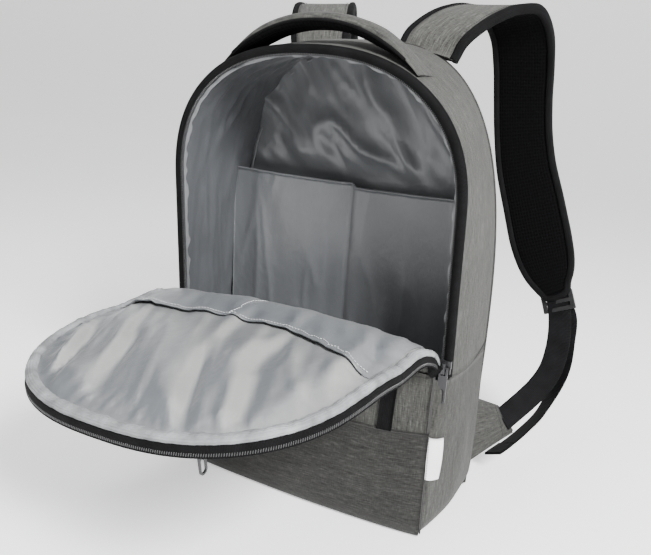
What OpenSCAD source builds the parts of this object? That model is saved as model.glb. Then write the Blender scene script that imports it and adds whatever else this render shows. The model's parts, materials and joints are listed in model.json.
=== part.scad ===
// Backpack with a zip-round front flap that opens forward, shoulder straps,
// a grab handle and two thin solar leaves on the flap's outer face.
// +X is the bag's right as seen from the front, the front faces -Y, +Z is up.
// The origin is the centre of the base, on the surface the bag stands on.

/* [Body] */
// Half of the body's width
body_half = 152; // [140:1:165]
// Depth from the back panel to the front panel
body_depth = 120; // [100:1:140]
// Height of the zip's lower ends, where the flap hinges
hinge_z = 160; // [140:1:170]
// Height of the body's top at the front edge
front_top = 431; // [400:1:450]
// Height of the body's top at the rear edge
rear_top = 446; // [430:1:470]
// Half of the base's width
base_half = 149; // [140:1:150]
// Thickness of a padded wall
wall = 4; // [3:0.5:5]
// Thickness of the lining
lining_t = 1.2; // [0.8:0.1:1.5]

/* [Front] */
// Height of the front pocket's mouth
pocket_z = 100; // [80:1:110]
// How far the pocket bulges at its middle
pocket_bulge = 15; // [8:1:20]
// Width of a vertical webbing band on the front
band_w = 14; // [10:1:20]
// Height of the laptop sleeve's hem
sleeve_z = 305; // [260:1:330]

/* [Flap] */
// Gap from the body's outline to the flap's zip teeth
flap_inset = 8; // [8:0.5:10]
// Thickness of the padded flap shell
flap_t = 5; // [3:0.5:6]
// Distance from the hinge to the first fold
fold_1 = 46; // [40:1:55]
// Distance from the hinge to the second fold
fold_2 = 141; // [130:1:150]
// Upward slope of the flap's first part when open
base_slope = 33; // [20:1:45]
// Upward slope of the flap's middle part when open
mid_slope = 1.7; // [-5:0.1:10]
// Upward slope of the flap's tip when open
tip_slope = -11.3; // [-20:0.1:0]
// Width of a solar leaf
leaf_w = 190; // [150:1:200]
// Height of a solar leaf
leaf_h = 70; // [60:1:72]

/* [Straps] */
// Width of the padded shoulder strap
strap_w = 65; // [55:1:75]
// Thickness of the padded shoulder strap
strap_t = 9; // [6:1:12]
// Width of the lower webbing
web_w = 25; // [20:1:30]

/* [Zips] */
// Length of a zip puller's tab
tab_l = 34; // [25:1:40]
// Width of a zip puller's tab
tab_w = 8; // [7:0.5:9]

/* [Hidden] */
$fn = 48;

grey = [0.50, 0.50, 0.48];
dark = [0.40, 0.40, 0.38];
black = [0.05, 0.05, 0.055];
satin = [0.46, 0.48, 0.50];
light_satin = [0.66, 0.67, 0.67];
metal = [0.20, 0.20, 0.21];

// Body planes
back_y = body_depth / 2;
front_y = -body_depth / 2;
zip_y = -44;
zip_lean = 4.2;
skin = 0.4;
seam_t = 3;
lining_gap = 0.6;
// Where the front panel meets the sides
front_edge = base_half - 10;

// Front outline: straight sides, then a superellipse arch, measured along the leaning zip plane
zip_len = (front_top - hinge_z) / cos(zip_lean);
arch_s = 140;
arch_rise = zip_len - arch_s;
front_exp = 2.38;
// Rear outline: the arch starts almost at the hinge height
rear_arch_z = 161;
rear_rise = rear_top - rear_arch_z;
rear_exp = 2.86;
shoulder_z = hinge_z + arch_s * cos(zip_lean);
// Arch angle of the rear outline at shoulder height
rear_start = asin(pow((shoulder_z - rear_arch_z) / rear_rise, rear_exp / 2));
arch_steps = 18;

// Hinge of the flap, in the zip plane's own axes: distance up the plane, distance outward
hinge_out = 1.5;
closed_slope = 90 - zip_lean;
edge_gap = 2;
tape_w = 12;
binding_w = 22;

// Strap route: centre points from the yoke to the ladder lock, right side
strap_path = [
    [60, 68, 450], [66, 78, 459], [76, 95, 471], [92, 120, 482], [106, 148, 485], [114, 174, 474],
    [117, 192, 450], [118, 204, 415], [121, 212, 375], [130, 215, 330], [146, 213, 280],
    [162, 210, 238], [176, 207, 208], [184, 205, 192]
];
// Half width of the strap at each point, as a share of the full half width
strap_share = [0.3, 0.85, 1, 1, 1, 1, 1, 1, 1, 1.03, 1.06, 1.04, 0.85, 0.45];
// Lower webbing: from the ladder lock to the anchor patch
web_path = [
    [196, 198.5, 165], [199, 190, 150], [201, 180, 130], [200, 165, 110], [195, 146, 94],
    [188, 128, 82], [180, 111, 73], [177, 105, 70]
];
// Loose tail: from the ladder lock downward
tail_path = [
    [202, 203, 160], [204, 200, 135], [206, 192, 105], [203, 180, 78], [195, 163, 55],
    [184, 142, 40], [173, 117, 30], [165, 97, 25]
];
strap_yoke_half = 94;
lock_at = [190.5, 203, 179];
lock_tilt = [-15, -24, 0];
lock_w = 36;
lock_h = 22;
lock_t = 4;

function sgn(v) = v < 0 ? -1 : 1;
function unit(v) = v / norm(v);
function mix(a, b, k) = a + (b - a) * k;
// Points of the zip plane: x, distance up the plane, distance outward
function zip_point(x, s, out) = [
    x,
    zip_y - s * sin(zip_lean) - out * cos(zip_lean),
    hinge_z + s * cos(zip_lean) - out * sin(zip_lean)
];
function arch_x(half, ex, a) = half * sgn(cos(a)) * pow(abs(cos(a)), 2 / ex);
function arch_y(rise, ex, a) = rise * pow(abs(sin(a)), 2 / ex);
// Front and rear outlines at arch angle a, moved inward by d
function front_arch(a, d) = zip_point(
    arch_x(body_half - d, front_exp, a), arch_s + arch_y(arch_rise - d, front_exp, a), 0);
function rear_arch(a, d, y) = let (b = rear_start + (180 - 2 * rear_start) * a / 180) [
    arch_x(body_half - d, rear_exp, b), y, rear_arch_z + arch_y(rear_rise - d, rear_exp, b)];
// Half width of the rear outline at height z
function rear_half(z) = let (k = max(0, (z - rear_arch_z) / rear_rise))
    body_half * pow(1 - pow(k, rear_exp), 1 / rear_exp);
// Half width of the body below the hinge, narrowing to the base
function lower_half(z) = mix(base_half, body_half, pow(z / hinge_z, 0.7));
// Half width of the front outline at distance s up the zip plane, moved inward by d
function front_half(d, s) = let (k = max(0, (s - arch_s) / (arch_rise - d)))
    (body_half - d) * pow(1 - pow(k, front_exp), 1 / front_exp);
// Flat outline in the zip plane: between two straight distances, or from one up to the arch's top
function flap_outline(d, s0, s1) = s1 <= arch_s + 2
    ? [[body_half - d, s0], [body_half - d, s1], [d - body_half, s1], [d - body_half, s0]]
    : concat([[-front_half(d, s0), s0], [front_half(d, s0), s0]],
        [for (k = [0 : 36]) let (a = k * 5, y = arch_s + arch_y(arch_rise - d, front_exp, a))
            if (y > s0 + 0.5) [arch_x(body_half - d, front_exp, a), y]]);

// Ring of a wall that runs up the side between two insets, at a height below the shoulder
function side_ring(z, d0, d1, rear_y) = let (f = zip_point(0, (z - hinge_z) / cos(zip_lean), 0))
    [[body_half - d1, f[1], f[2]], [body_half - d0, f[1], f[2]],
     [rear_half(z) - d0, rear_y, z], [rear_half(z) - d1, rear_y, z]];
function shoulder_ring(d0, d1, rear_y) =
    [front_arch(0, d1), front_arch(0, d0), rear_arch(0, d0, rear_y), rear_arch(0, d1, rear_y)];

// Solid through a list of rings of four points each, each ring anticlockwise seen from the end.
// Two solids that share a bent face meet exactly if only one of them is turned.
module sweep(rings, turned = false) {
    n = len(rings);
    points = [for (r = rings) each r];
    sides = [for (i = [0 : n - 2]) for (k = [0 : 3])
        let (a = 4 * i + k, b = 4 * i + (k + 1) % 4)
        each turned ? [[a, a + 4, b], [a + 4, b + 4, b]] : [[a, b + 4, b], [a, a + 4, b + 4]]];
    e = 4 * (n - 1);
    caps = [[0, 1, 2], [0, 2, 3], [e + 2, e + 1, e], [e + 3, e + 2, e]];
    polyhedron(points, concat(sides, caps), convexity = 8);
}

// Flat ribbon along a path: w is the width direction at each point
function ribbon_rings(path, ways, halves, low, high) = [for (i = [0 : len(path) - 1])
    let (ahead = unit(path[min(i + 1, len(path) - 1)] - path[max(i - 1, 0)]),
         side = unit(ways[i] - ahead * (ways[i] * ahead)),
         up = cross(side, ahead))
    [path[i] + side * halves[i] + up * low, path[i] - side * halves[i] + up * low,
     path[i] - side * halves[i] + up * high, path[i] + side * halves[i] + up * high]];
module ribbon(path, ways, halves, low, high, turned = false) {
    sweep(ribbon_rings(path, ways, halves, low, high), turned);
}
function reverse_rings(rings) = [for (i = [len(rings) - 1 : -1 : 0]) rings[i]];

module on_zip_plane() {
    translate([0, zip_y, hinge_z]) rotate([90 + zip_lean, 0, 0]) children();
}
// Place a part drawn in the closed zip plane at the open slope of its flap section
module turn_at(s, slope) {
    translate([0, s, hinge_out]) rotate([slope, 0, 0]) translate([0, -s, -hinge_out]) children();
}
module flap_base_place() {
    on_zip_plane() turn_at(0, closed_slope - base_slope) children();
}
module flap_mid_place() {
    on_zip_plane() turn_at(0, closed_slope - base_slope) turn_at(fold_1, base_slope - mid_slope)
        children();
}
module flap_tip_place() {
    on_zip_plane() turn_at(0, closed_slope - base_slope) turn_at(fold_1, base_slope - mid_slope)
        turn_at(fold_2, mid_slope - tip_slope) children();
}
module both_sides() {
    children();
    mirror([1, 0, 0]) children();
}

// --- Body ---
module side_wall(d0, d1, rear_y, turned = false) {
    sweep(concat([for (k = [0 : 3]) side_ring(mix(hinge_z, shoulder_z, k / 4), d0, d1, rear_y)],
        [shoulder_ring(d0, d1, rear_y)]), turned);
}
module gusset_side() {
    side_wall(0, wall, back_y - seam_t);
}
module gusset_right() {
    color(grey) gusset_side();
}
module gusset_left() {
    color(grey) mirror([1, 0, 0]) gusset_side();
}
module arch_band(d0, d1, rear_y, turned = false) {
    sweep(reverse_rings([for (k = [0 : arch_steps]) let (a = 180 * k / arch_steps)
        [front_arch(a, d1), rear_arch(a, d1, rear_y), rear_arch(a, d0, rear_y), front_arch(a, d0)]]),
        turned);
}
module gusset_top() {
    color(grey) arch_band(0, wall, back_y - seam_t);
}
module body_lining() {
    depth_y = back_y - seam_t - lining_t;
    outer = wall + lining_gap;
    color(satin) {
        arch_band(outer, outer + lining_t, depth_y, true);
        both_sides() side_wall(outer, outer + lining_t, depth_y, true);
        translate([0, back_y - seam_t, 0]) rotate([90, 0, 0])
            linear_extrude(lining_t) back_outline(outer + lining_t / 2, 2 * wall);
    }
}
module back_outline(d, bottom) {
    polygon(concat(
        [[-(base_half - d), bottom], [base_half - d, bottom], [body_half - d, rear_arch_z]],
        [for (k = [1 : 35]) let (a = k * 5)
            [arch_x(body_half - d, rear_exp, a), rear_arch_z + arch_y(rear_rise - d, rear_exp, a)]],
        [[d - body_half, rear_arch_z]]));
}
module back_panel() {
    color(grey) translate([0, back_y, 0]) rotate([90, 0, 0])
        linear_extrude(seam_t) back_outline(wall, wall);
}
module rear_piping() {
    color(dark) translate([0, back_y, 0]) rotate([90, 0, 0]) linear_extrude(seam_t) difference() {
        back_outline(0, 0);
        back_outline(wall, wall);
    }
}
module back_pad() {
    pad_t = 9;
    pad_w = 96;
    pad_h = 321;
    color(black) translate([18, back_y, 60]) cube([pad_w, pad_t, pad_h]);
}
module back_pad_right() {
    back_pad();
}
module back_pad_left() {
    mirror([1, 0, 0]) back_pad();
}
// Side of the bag below the hinge, with the strip that turns onto the front
module side_panel() {
    levels = [0, 50, pocket_z, hinge_z - 2.5];
    sweep([for (z = levels) let (h = lower_half(z), y = front_face(z) + 14)
        [[h - wall, y, z], [h, y, z], [h, back_y - seam_t, z], [h - wall, back_y - seam_t, z]]]);
    sweep([for (z = levels) let (h = lower_half(z), y = front_face(z))
        [[front_edge, y + wall, z], [front_edge, y, z], [h, y + 14, z], [h - wall, y + 14, z]]]);
}
module side_panel_right() {
    color(grey) side_panel();
}
module side_panel_left() {
    color(grey) mirror([1, 0, 0]) side_panel();
}
// The front face leans back to the zip above the pocket
function front_face(z) = z <= pocket_z ? front_y : mix(front_y, zip_y - 5, (z - pocket_z) / 57);
// Base board, its front corners cut off inside the turned strips of the sides
module bottom_panel() {
    inner = base_half - wall;
    front = front_edge - 1;
    color(dark) linear_extrude(wall) polygon([
        [-front, front_y + wall], [front, front_y + wall], [inner, front_y + 15],
        [inner, back_y - seam_t], [-inner, back_y - seam_t], [-inner, front_y + 15]]);
}
module front_panel() {
    color(grey) sweep([for (z = [0, pocket_z, hinge_z - 3.5]) let (y = front_face(z))
        [[-front_edge, y, z], [front_edge, y, z], [front_edge, y + wall, z], [-front_edge, y + wall, z]]]);
}
// The pocket is an upright bulging wall in front of the front panel
module front_pocket() {
    half = front_edge;
    r = (half * half + pocket_bulge * pocket_bulge) / (2 * pocket_bulge);
    color(dark) intersection() {
        translate([-half, front_y - pocket_bulge - 1, 0]) cube([2 * half, pocket_bulge + 1 - skin / 4, pocket_z]);
        translate([0, front_y + r - pocket_bulge, 0]) difference() {
            cylinder(r = r, h = pocket_z, $fn = 180);
            translate([0, 0, seam_t]) cylinder(r = r - seam_t, h = pocket_z, $fn = 180);
        }
    }
}
module floor_lining() {
    inner = front_edge + 1;
    color(satin) translate([-inner, front_y + 2 * wall, wall])
        cube([2 * inner, body_depth - 3 * wall - 2, lining_t]);
}
module laptop_sleeve() {
    y = back_y - wall - lining_t - 14;
    half = base_half - 2 * wall;
    mouth_half = half - 7;
    color(satin) translate([0, y, 0]) rotate([90, 0, 0]) linear_extrude(2)
        polygon([[-half, 6], [half, 6], [half + 2, 150], [mouth_half, sleeve_z],
                 [-mouth_half, sleeve_z], [-half - 2, 150]]);
}
module front_bands() {
    top = hinge_z - 6;
    bottom = 60;
    band_t = 1.6;
    color(black) for (x = [-103, -44, 44, 103])
        sweep([for (z = [bottom, pocket_z, top]) let (y = front_face(z))
            [[x - band_w / 2, y - band_t, z], [x + band_w / 2, y - band_t, z],
             [x + band_w / 2, y, z], [x - band_w / 2, y, z]]]);
}
module seam_tag() {
    tag_h = 41;
    tag_z = 62;
    color("white") sweep([for (z = [tag_z, tag_z + tag_h]) let (h = lower_half(z))
        [[h - 9.3, front_y + 0.6, z], [h - 8.9, front_y - 0.4, z],
         [h + 1.6, front_y + 14, z], [h + 0.8, front_y + 14.4, z]]]);
}
module body_zip_tape() {
    color(black) on_zip_plane() linear_extrude(1.2) difference() {
        polygon(flap_outline(0, 0, zip_len));
        polygon(flap_outline(5, -1, zip_len));
    }
}
module body_zip_coil() {
    color(black) on_zip_plane() linear_extrude(1.8) difference() {
        polygon(flap_outline(5, 0, zip_len));
        polygon(flap_outline(7.5, -1, zip_len));
    }
}
module strap_yoke() {
    color(dark) translate([-strap_yoke_half, back_y, 382]) cube([2 * strap_yoke_half, 2.5, 32]);
}
// Stiffened fabric wedge sewn into the rear seam, with a tip edge for the webbing
module anchor_patch() {
    color(grey) sweep([
        [[148, 61, 97], [150.5, 61, 97], [145, 61, 30], [143, 61, 30]],
        [[161.5, 99, 77], [163.5, 98.4, 77], [181.5, 98.4, 55], [179.5, 99, 55]]
    ]);
}
module anchor_patch_right() {
    anchor_patch();
}
module anchor_patch_left() {
    mirror([1, 0, 0]) anchor_patch();
}

// --- Grab handle ---
handle_y = -42;
handle_w = 24;
handle_half = 73;
handle_z = 429;
module chord_disc(half, rise) {
    r = (half * half + rise * rise) / (2 * rise);
    translate([0, rise - r]) circle(r = r, $fn = 120);
}
module handle_layer(half, rise, cut_half, cut_rise) {
    translate([0, handle_y + handle_w / 2, handle_z]) rotate([90, 0, 0]) linear_extrude(handle_w)
        intersection() {
            translate([-handle_half, 0]) square([2 * handle_half, 40]);
            difference() {
                chord_disc(half, rise);
                chord_disc(cut_half, cut_rise);
            }
        }
}
module handle_cover() {
    color(grey) handle_layer(handle_half, 32, 69.5, 26);
}
module handle_underside() {
    color(black) handle_layer(69.5, 26, 66, 20);
}
module handle_anchors() {
    // Each patch lies on the top gusset, from one arch step to another
    patch_t = 1.6;
    ends = [0.06, 0.18];
    color(grey) both_sides() sweep([for (a = [70, 60, 50])
        [for (q = [[-skin, 0], [-skin - patch_t, 0], [-skin - patch_t, 1], [-skin, 1]])
            mix(front_arch(a, q[0]), rear_arch(a, q[0], back_y - seam_t), ends[q[1]])]]);
}

// --- Zip sliders and pullers, drawn flat: x across the zip, y along it, z outward ---
pivot_h = 6.4;
module slider_shape() {
    difference() {
        union() {
            translate([-5, -6, 2]) cube([10, 12, 2.6]);
            translate([-5.5, -1, 2]) cube([11, 7, 2.6]);
            translate([-1.6, -5, 4]) cube([3.2, 10, 5.4]);
        }
        translate([-3, -2.5, 4.9]) cube([6, 5, 3]);
    }
}
module puller_shape() {
    stem = 7;
    eye_r = tab_w / 2 - 1.6;
    rotate([0, 90, 0]) translate([0, 0, -tab_w / 2]) cylinder(r = 0.9, h = tab_w, $fn = 24);
    for (x = [-tab_w / 2, tab_w / 2 - 1.8])
        translate([x, -stem - 1, -0.8]) cube([1.8, stem + 1, 1.6]);
    difference() {
        union() {
            translate([-tab_w / 2, -tab_l + tab_w / 2, -0.8]) cube([tab_w, tab_l - stem - tab_w / 2, 1.6]);
            translate([0, -tab_l + tab_w / 2, -0.8]) cylinder(r = tab_w / 2, h = 1.6);
        }
        for (y = [-tab_l + tab_w / 2, -tab_l + tab_w / 2 + 8])
            translate([0, y, -2]) cylinder(r = eye_r, h = 4);
        translate([-eye_r, -tab_l + tab_w / 2, -2]) cube([2 * eye_r, 8, 4]);
    }
}
main_x = body_half - 4;
main_s = 7;
module main_slider() {
    color(metal) on_zip_plane() translate([main_x, main_s, 0]) slider_shape();
}
module main_puller() {
    p = zip_point(main_x, main_s, pivot_h);
    color(metal) translate(p) rotate([90, 0, 0]) puller_shape();
}
module slider_right() {
    main_slider();
}
module slider_left() {
    mirror([1, 0, 0]) main_slider();
}
module puller_right() {
    main_puller();
}
module puller_left() {
    mirror([1, 0, 0]) main_puller();
}

// --- Flap: three sections that fold as one ---
module flap_slab(d, s0, s1, low, high) {
    translate([0, 0, low]) linear_extrude(high - low) polygon(flap_outline(d, s0, s1));
}
module flap_ring(d0, d1, s0, s1, low, high) {
    translate([0, 0, low]) linear_extrude(high - low) difference() {
        polygon(flap_outline(d0, s0, s1));
        polygon(flap_outline(d1, s0 - 1, s1 <= arch_s + 2 ? s1 + 1 : s1));
    }
}
module flap_zip(s0, s1) {
    color(black) {
        flap_ring(flap_inset, flap_inset + 2.5, s0, s1, -1.8, 0.6);
        flap_ring(flap_inset + 2, flap_inset + tape_w, s0, s1, -1.2, 0);
    }
}
shell_d = flap_inset + tape_w;
// The flap's zip starts above the main sliders
base_zip_s = 15;
module flap_base_shell() {
    color(grey) flap_base_place() flap_slab(shell_d, 3, fold_1 - edge_gap, 0, flap_t);
}
module flap_base_lining() {
    color(light_satin) flap_base_place() flap_slab(shell_d + 0.2, 3, fold_1 - edge_gap, -lining_t, 0);
}
module flap_base_zip() {
    flap_base_place() flap_zip(base_zip_s, fold_1 - edge_gap);
}
module flap_mid_shell() {
    color(grey) flap_mid_place() flap_slab(shell_d, fold_1 + edge_gap, fold_2 - edge_gap, 0, flap_t);
}
module flap_mid_lining() {
    color(light_satin) flap_mid_place()
        flap_slab(shell_d + 0.2, fold_1 + edge_gap, fold_2 - edge_gap, -lining_t, 0);
}
module flap_mid_zip() {
    flap_mid_place() flap_zip(fold_1 + edge_gap, fold_2 - edge_gap);
}
module flap_slip_pocket() {
    mouth_s = 128;
    deep = 7;
    cloth = 1.2;
    color(light_satin) flap_mid_place() difference() {
        flap_slab(shell_d + 8, fold_1 + edge_gap, mouth_s, -lining_t - deep - cloth, -lining_t);
        flap_slab(shell_d + 8 + cloth, fold_1 + edge_gap + cloth, mouth_s + 1, -lining_t - deep, 1);
    }
}
module flap_tip_shell() {
    color(grey) flap_tip_place() flap_slab(shell_d, fold_2 + edge_gap, zip_len, 0, flap_t);
}
module flap_tip_lining() {
    color(light_satin) flap_tip_place()
        flap_slab(shell_d + 0.2, fold_2 + edge_gap, zip_len, -lining_t, 0);
}
module flap_tip_zip() {
    flap_tip_place() flap_zip(fold_2 + edge_gap, zip_len);
}
// Solar leaves: a fabric-edged laminate with rows of cells sunk in its face
leaf_t = 2.4;
lower_leaf_s = fold_2 - 5 - leaf_h;
upper_leaf_s = fold_2 + 5;
module solar_leaf(s) {
    color(black) translate([-leaf_w / 2, s, flap_t]) cube([leaf_w, leaf_h, leaf_t]);
}
module solar_cells(s) {
    columns = 4;
    margin = 6;
    gap = 2;
    cell_w = (leaf_w - 2 * margin - (columns - 1) * gap) / columns;
    color([0.05, 0.07, 0.16]) for (i = [0 : columns - 1])
        translate([-leaf_w / 2 + margin + i * (cell_w + gap), s + margin, flap_t + leaf_t])
            cube([cell_w, leaf_h - 2 * margin, 0.5]);
}
module solar_leaf_lower() {
    flap_mid_place() solar_leaf(lower_leaf_s);
}
module solar_cells_lower() {
    flap_mid_place() solar_cells(lower_leaf_s);
}
module solar_leaf_upper() {
    flap_tip_place() solar_leaf(upper_leaf_s);
}
module solar_cells_upper() {
    flap_tip_place() solar_cells(upper_leaf_s);
}
// Junction and charge box under the lower leaf, with a USB socket in its end
module charge_box() {
    box_w = 46;
    box_h = 13;
    box_t = 8;
    color(black) flap_mid_place() translate([-box_w / 2, fold_1 + 4, flap_t]) difference() {
        cube([box_w, box_h, box_t]);
        translate([box_w - 12, 0.5, 1.6]) cube([14, 12, 4.8]);
    }
}
outer_zip_s = 232;
outer_zip_half = 84;
// Where the two sliders are parked along the outer zip
outer_park_left = -76;
outer_park_right = 50;
module outer_zip() {
    color(black) flap_tip_place() translate([-outer_zip_half, outer_zip_s - 6, flap_t]) {
        cube([2 * outer_zip_half, 12, 0.8]);
        translate([0, 4.5, 0]) cube([2 * outer_zip_half, 3, 1.9]);
    }
}
module outer_slider(x) {
    color(metal) flap_tip_place() translate([x, outer_zip_s, flap_t]) rotate([0, 0, 90])
        slider_shape();
}
// The open tip's outer face looks down, so a free puller hangs straight below its slider
module outer_puller(x) {
    color(metal) flap_tip_place() translate([x, outer_zip_s, flap_t + pivot_h])
        rotate([0, 0, 90]) rotate([-90, 0, 0]) puller_shape();
}
module outer_slider_right() {
    outer_slider(outer_park_right);
}
module outer_slider_left() {
    outer_slider(outer_park_left);
}
module outer_puller_right() {
    outer_puller(outer_park_right);
}
module outer_puller_left() {
    outer_puller(outer_park_left);
}

// --- Shoulder straps ---
across = [1, 0, 0];
strap_ways = [for (p = strap_path) across];
strap_halves = [for (k = strap_share) k * strap_w / 2];
// The webbing turns from lying across the bag to lying along the patch's tip
web_ways = [for (i = [0 : len(web_path) - 1]) unit(mix(across, [0.64, 0, -0.77], i / (len(web_path) - 1)))];
web_halves = [for (p = web_path) web_w / 2];
tail_ways = [for (p = tail_path) across];
tail_halves = [for (p = tail_path) web_w / 2];
module strap_cover() {
    color(grey) ribbon(strap_path, strap_ways, strap_halves, 0, strap_t * 0.7);
}
module strap_mesh() {
    color(black) ribbon(strap_path, strap_ways, strap_halves, -strap_t * 0.3, 0, true);
}
module ladder_lock() {
    bar = 4.5;
    slot_w = web_w + 2;
    color(black) translate(lock_at) rotate(lock_tilt) difference() {
        translate([-lock_w / 2, -lock_t / 2, -lock_h / 2]) cube([lock_w, lock_t, lock_h]);
        for (z = [-lock_h / 2 + bar, 2])
            translate([-slot_w / 2, -lock_t, z]) cube([slot_w, 2 * lock_t, 4.5]);
    }
}
module strap_web() {
    color(black) ribbon(web_path, web_ways, web_halves, -0.8, 0.8);
}
module web_tail() {
    color(black) ribbon(tail_path, tail_ways, tail_halves, -0.8, 0.8);
}
module strap_cover_right() {
    strap_cover();
}
module strap_cover_left() {
    mirror([1, 0, 0]) strap_cover();
}
module strap_mesh_right() {
    strap_mesh();
}
module strap_mesh_left() {
    mirror([1, 0, 0]) strap_mesh();
}
module ladder_lock_right() {
    ladder_lock();
}
module ladder_lock_left() {
    mirror([1, 0, 0]) ladder_lock();
}
module strap_web_right() {
    strap_web();
}
module strap_web_left() {
    mirror([1, 0, 0]) strap_web();
}
module web_tail_right() {
    web_tail();
}
module web_tail_left() {
    mirror([1, 0, 0]) web_tail();
}

back_panel();
back_pad_left();
back_pad_right();
gusset_left();
gusset_right();
gusset_top();
side_panel_left();
side_panel_right();
bottom_panel();
front_panel();
front_pocket();
body_lining();
floor_lining();
laptop_sleeve();
front_bands();
rear_piping();
seam_tag();
body_zip_tape();
body_zip_coil();
strap_yoke();
anchor_patch_left();
anchor_patch_right();
handle_anchors();
handle_cover();
handle_underside();
slider_left();
slider_right();
puller_left();
puller_right();
flap_base_shell();
flap_base_lining();
flap_base_zip();
flap_mid_shell();
flap_mid_lining();
flap_mid_zip();
flap_slip_pocket();
solar_leaf_lower();
solar_cells_lower();
charge_box();
flap_tip_shell();
flap_tip_lining();
flap_tip_zip();
outer_zip();
solar_leaf_upper();
solar_cells_upper();
outer_slider_left();
outer_slider_right();
outer_puller_left();
outer_puller_right();
strap_cover_left();
strap_cover_right();
strap_mesh_left();
strap_mesh_right();
ladder_lock_left();
ladder_lock_right();
strap_web_left();
strap_web_right();
web_tail_left();
web_tail_right();
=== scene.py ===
"""Looks for the backpack: fabric shells, lining, straps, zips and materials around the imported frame."""

import json
import math

import bpy
import numpy as np
from mathutils import Matrix, Vector, geometry, noise


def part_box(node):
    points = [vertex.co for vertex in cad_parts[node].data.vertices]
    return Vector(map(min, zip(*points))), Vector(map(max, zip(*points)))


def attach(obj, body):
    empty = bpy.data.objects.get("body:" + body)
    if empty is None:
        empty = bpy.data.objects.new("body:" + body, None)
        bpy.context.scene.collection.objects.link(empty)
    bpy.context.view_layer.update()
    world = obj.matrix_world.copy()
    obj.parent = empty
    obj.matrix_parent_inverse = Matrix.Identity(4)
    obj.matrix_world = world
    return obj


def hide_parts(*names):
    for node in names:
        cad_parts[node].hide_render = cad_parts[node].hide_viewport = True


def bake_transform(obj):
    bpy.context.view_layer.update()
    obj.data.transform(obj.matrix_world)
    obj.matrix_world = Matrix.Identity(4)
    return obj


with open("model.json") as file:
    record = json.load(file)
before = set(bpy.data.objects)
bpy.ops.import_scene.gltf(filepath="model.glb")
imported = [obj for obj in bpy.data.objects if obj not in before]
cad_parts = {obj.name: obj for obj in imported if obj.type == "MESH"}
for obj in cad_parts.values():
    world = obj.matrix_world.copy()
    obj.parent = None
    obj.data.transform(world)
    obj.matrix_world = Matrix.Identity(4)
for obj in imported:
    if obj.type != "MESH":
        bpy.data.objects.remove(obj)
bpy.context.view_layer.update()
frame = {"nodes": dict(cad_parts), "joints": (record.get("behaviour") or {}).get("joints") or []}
MM = 0.001
SIDES = ((1, "right"), (-1, "left"))

# ------------------------------------------------------------------ sizes, from the frame
JOINTS = {j["name"]: j for j in frame["joints"]}
BODY_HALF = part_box("body_zip_tape")[1][0]
BACK_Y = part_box("back_panel")[1][1]
FRONT_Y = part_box("front_panel")[0][1]
HINGE_Z = 160 * MM
FRONT_TOP = 431 * MM
REAR_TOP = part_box("rear_piping")[1][2]
ZIP_Y = -44 * MM
LEAN = math.radians(4.2)
ARCH_S = 140 * MM
ZIP_LEN = (FRONT_TOP - HINGE_Z) / math.cos(LEAN)
ARCH_RISE = ZIP_LEN - ARCH_S
FRONT_EXP = 2.38
REAR_EXP = 2.86
REAR_ARCH_Z = 161 * MM
REAR_RISE = REAR_TOP - REAR_ARCH_Z
SHOULDER_Z = HINGE_Z + ARCH_S * math.cos(LEAN)
REAR_START = math.asin(((SHOULDER_Z - REAR_ARCH_Z) / REAR_RISE) ** (REAR_EXP / 2))
BASE_HALF = 149 * MM
FRONT_EDGE = 143 * MM
POCKET_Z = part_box("front_pocket")[1][2]
SEAM_Z = 154 * MM
SLEEVE_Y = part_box("laptop_sleeve")[0][1]
SLEEVE_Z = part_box("laptop_sleeve")[1][2]
HINGE_OUT = 1.5 * MM
FOLD_1 = 46 * MM
FOLD_2 = 141 * MM
SLOPES = [math.degrees(math.pi / 2 - LEAN), 33.0, 1.7, -11.3]
HINGE_AT = np.array(JOINTS["flap_hinge"]["pos_m"])
FOLD_1_AT = np.array(JOINTS["flap_bend"]["pos_m"])
FOLD_2_AT = np.array(JOINTS["flap_droop"]["pos_m"])
FLAP_T = 5 * MM
FLAP_INSET = 8 * MM
FLAP_EXP_LEFT = 2.62
FLAP_EXP_RIGHT = 2.3
FLAP_LEAN = -7 * MM
FLAP_TWIST = 5 * MM
FLAP_ROLL = 7 * MM
SHELL_D = 12 * MM


# ------------------------------------------------------------------ outlines
def signed_power(c, p):
    return np.sign(c) * np.abs(c) ** p


def arch_xy(half, rise, ex, a):
    """Superellipse arch at angle a in radians: across and up."""
    return half * signed_power(np.cos(a), 2 / ex), rise * np.abs(np.sin(a)) ** (2 / ex)


def zip_point(x, s, out=0.0):
    x, s, out = np.broadcast_arrays(x, s, out)
    return np.stack([x, ZIP_Y - s * math.sin(LEAN) - out * math.cos(LEAN),
                     HINGE_Z + s * math.cos(LEAN) - out * math.sin(LEAN)], -1)


def rear_half(z):
    k = np.clip((z - REAR_ARCH_Z) / REAR_RISE, 0, 1)
    return BODY_HALF * (1 - k ** REAR_EXP) ** (1 / REAR_EXP)


def lower_half(z):
    return BASE_HALF + (BODY_HALF - BASE_HALF) * np.clip(z / HINGE_Z, 0, 1) ** 0.7


def seam_x(z):
    """Where the front panel's side seam runs at height z."""
    return 145.5 * MM - 5 * MM * np.clip(z / (157 * MM), 0, 1) ** 2


def front_face(z):
    k = np.clip((z - POCKET_Z) / (57 * MM), 0, 1)
    return FRONT_Y + (ZIP_Y - 7 * MM - FRONT_Y) * k ** 1.6


def front_half(d, s):
    k = np.clip((s - ARCH_S) / (ARCH_RISE - d), 0, 1)
    return (BODY_HALF - d) * (1 - k ** FRONT_EXP) ** (1 / FRONT_EXP)


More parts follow.
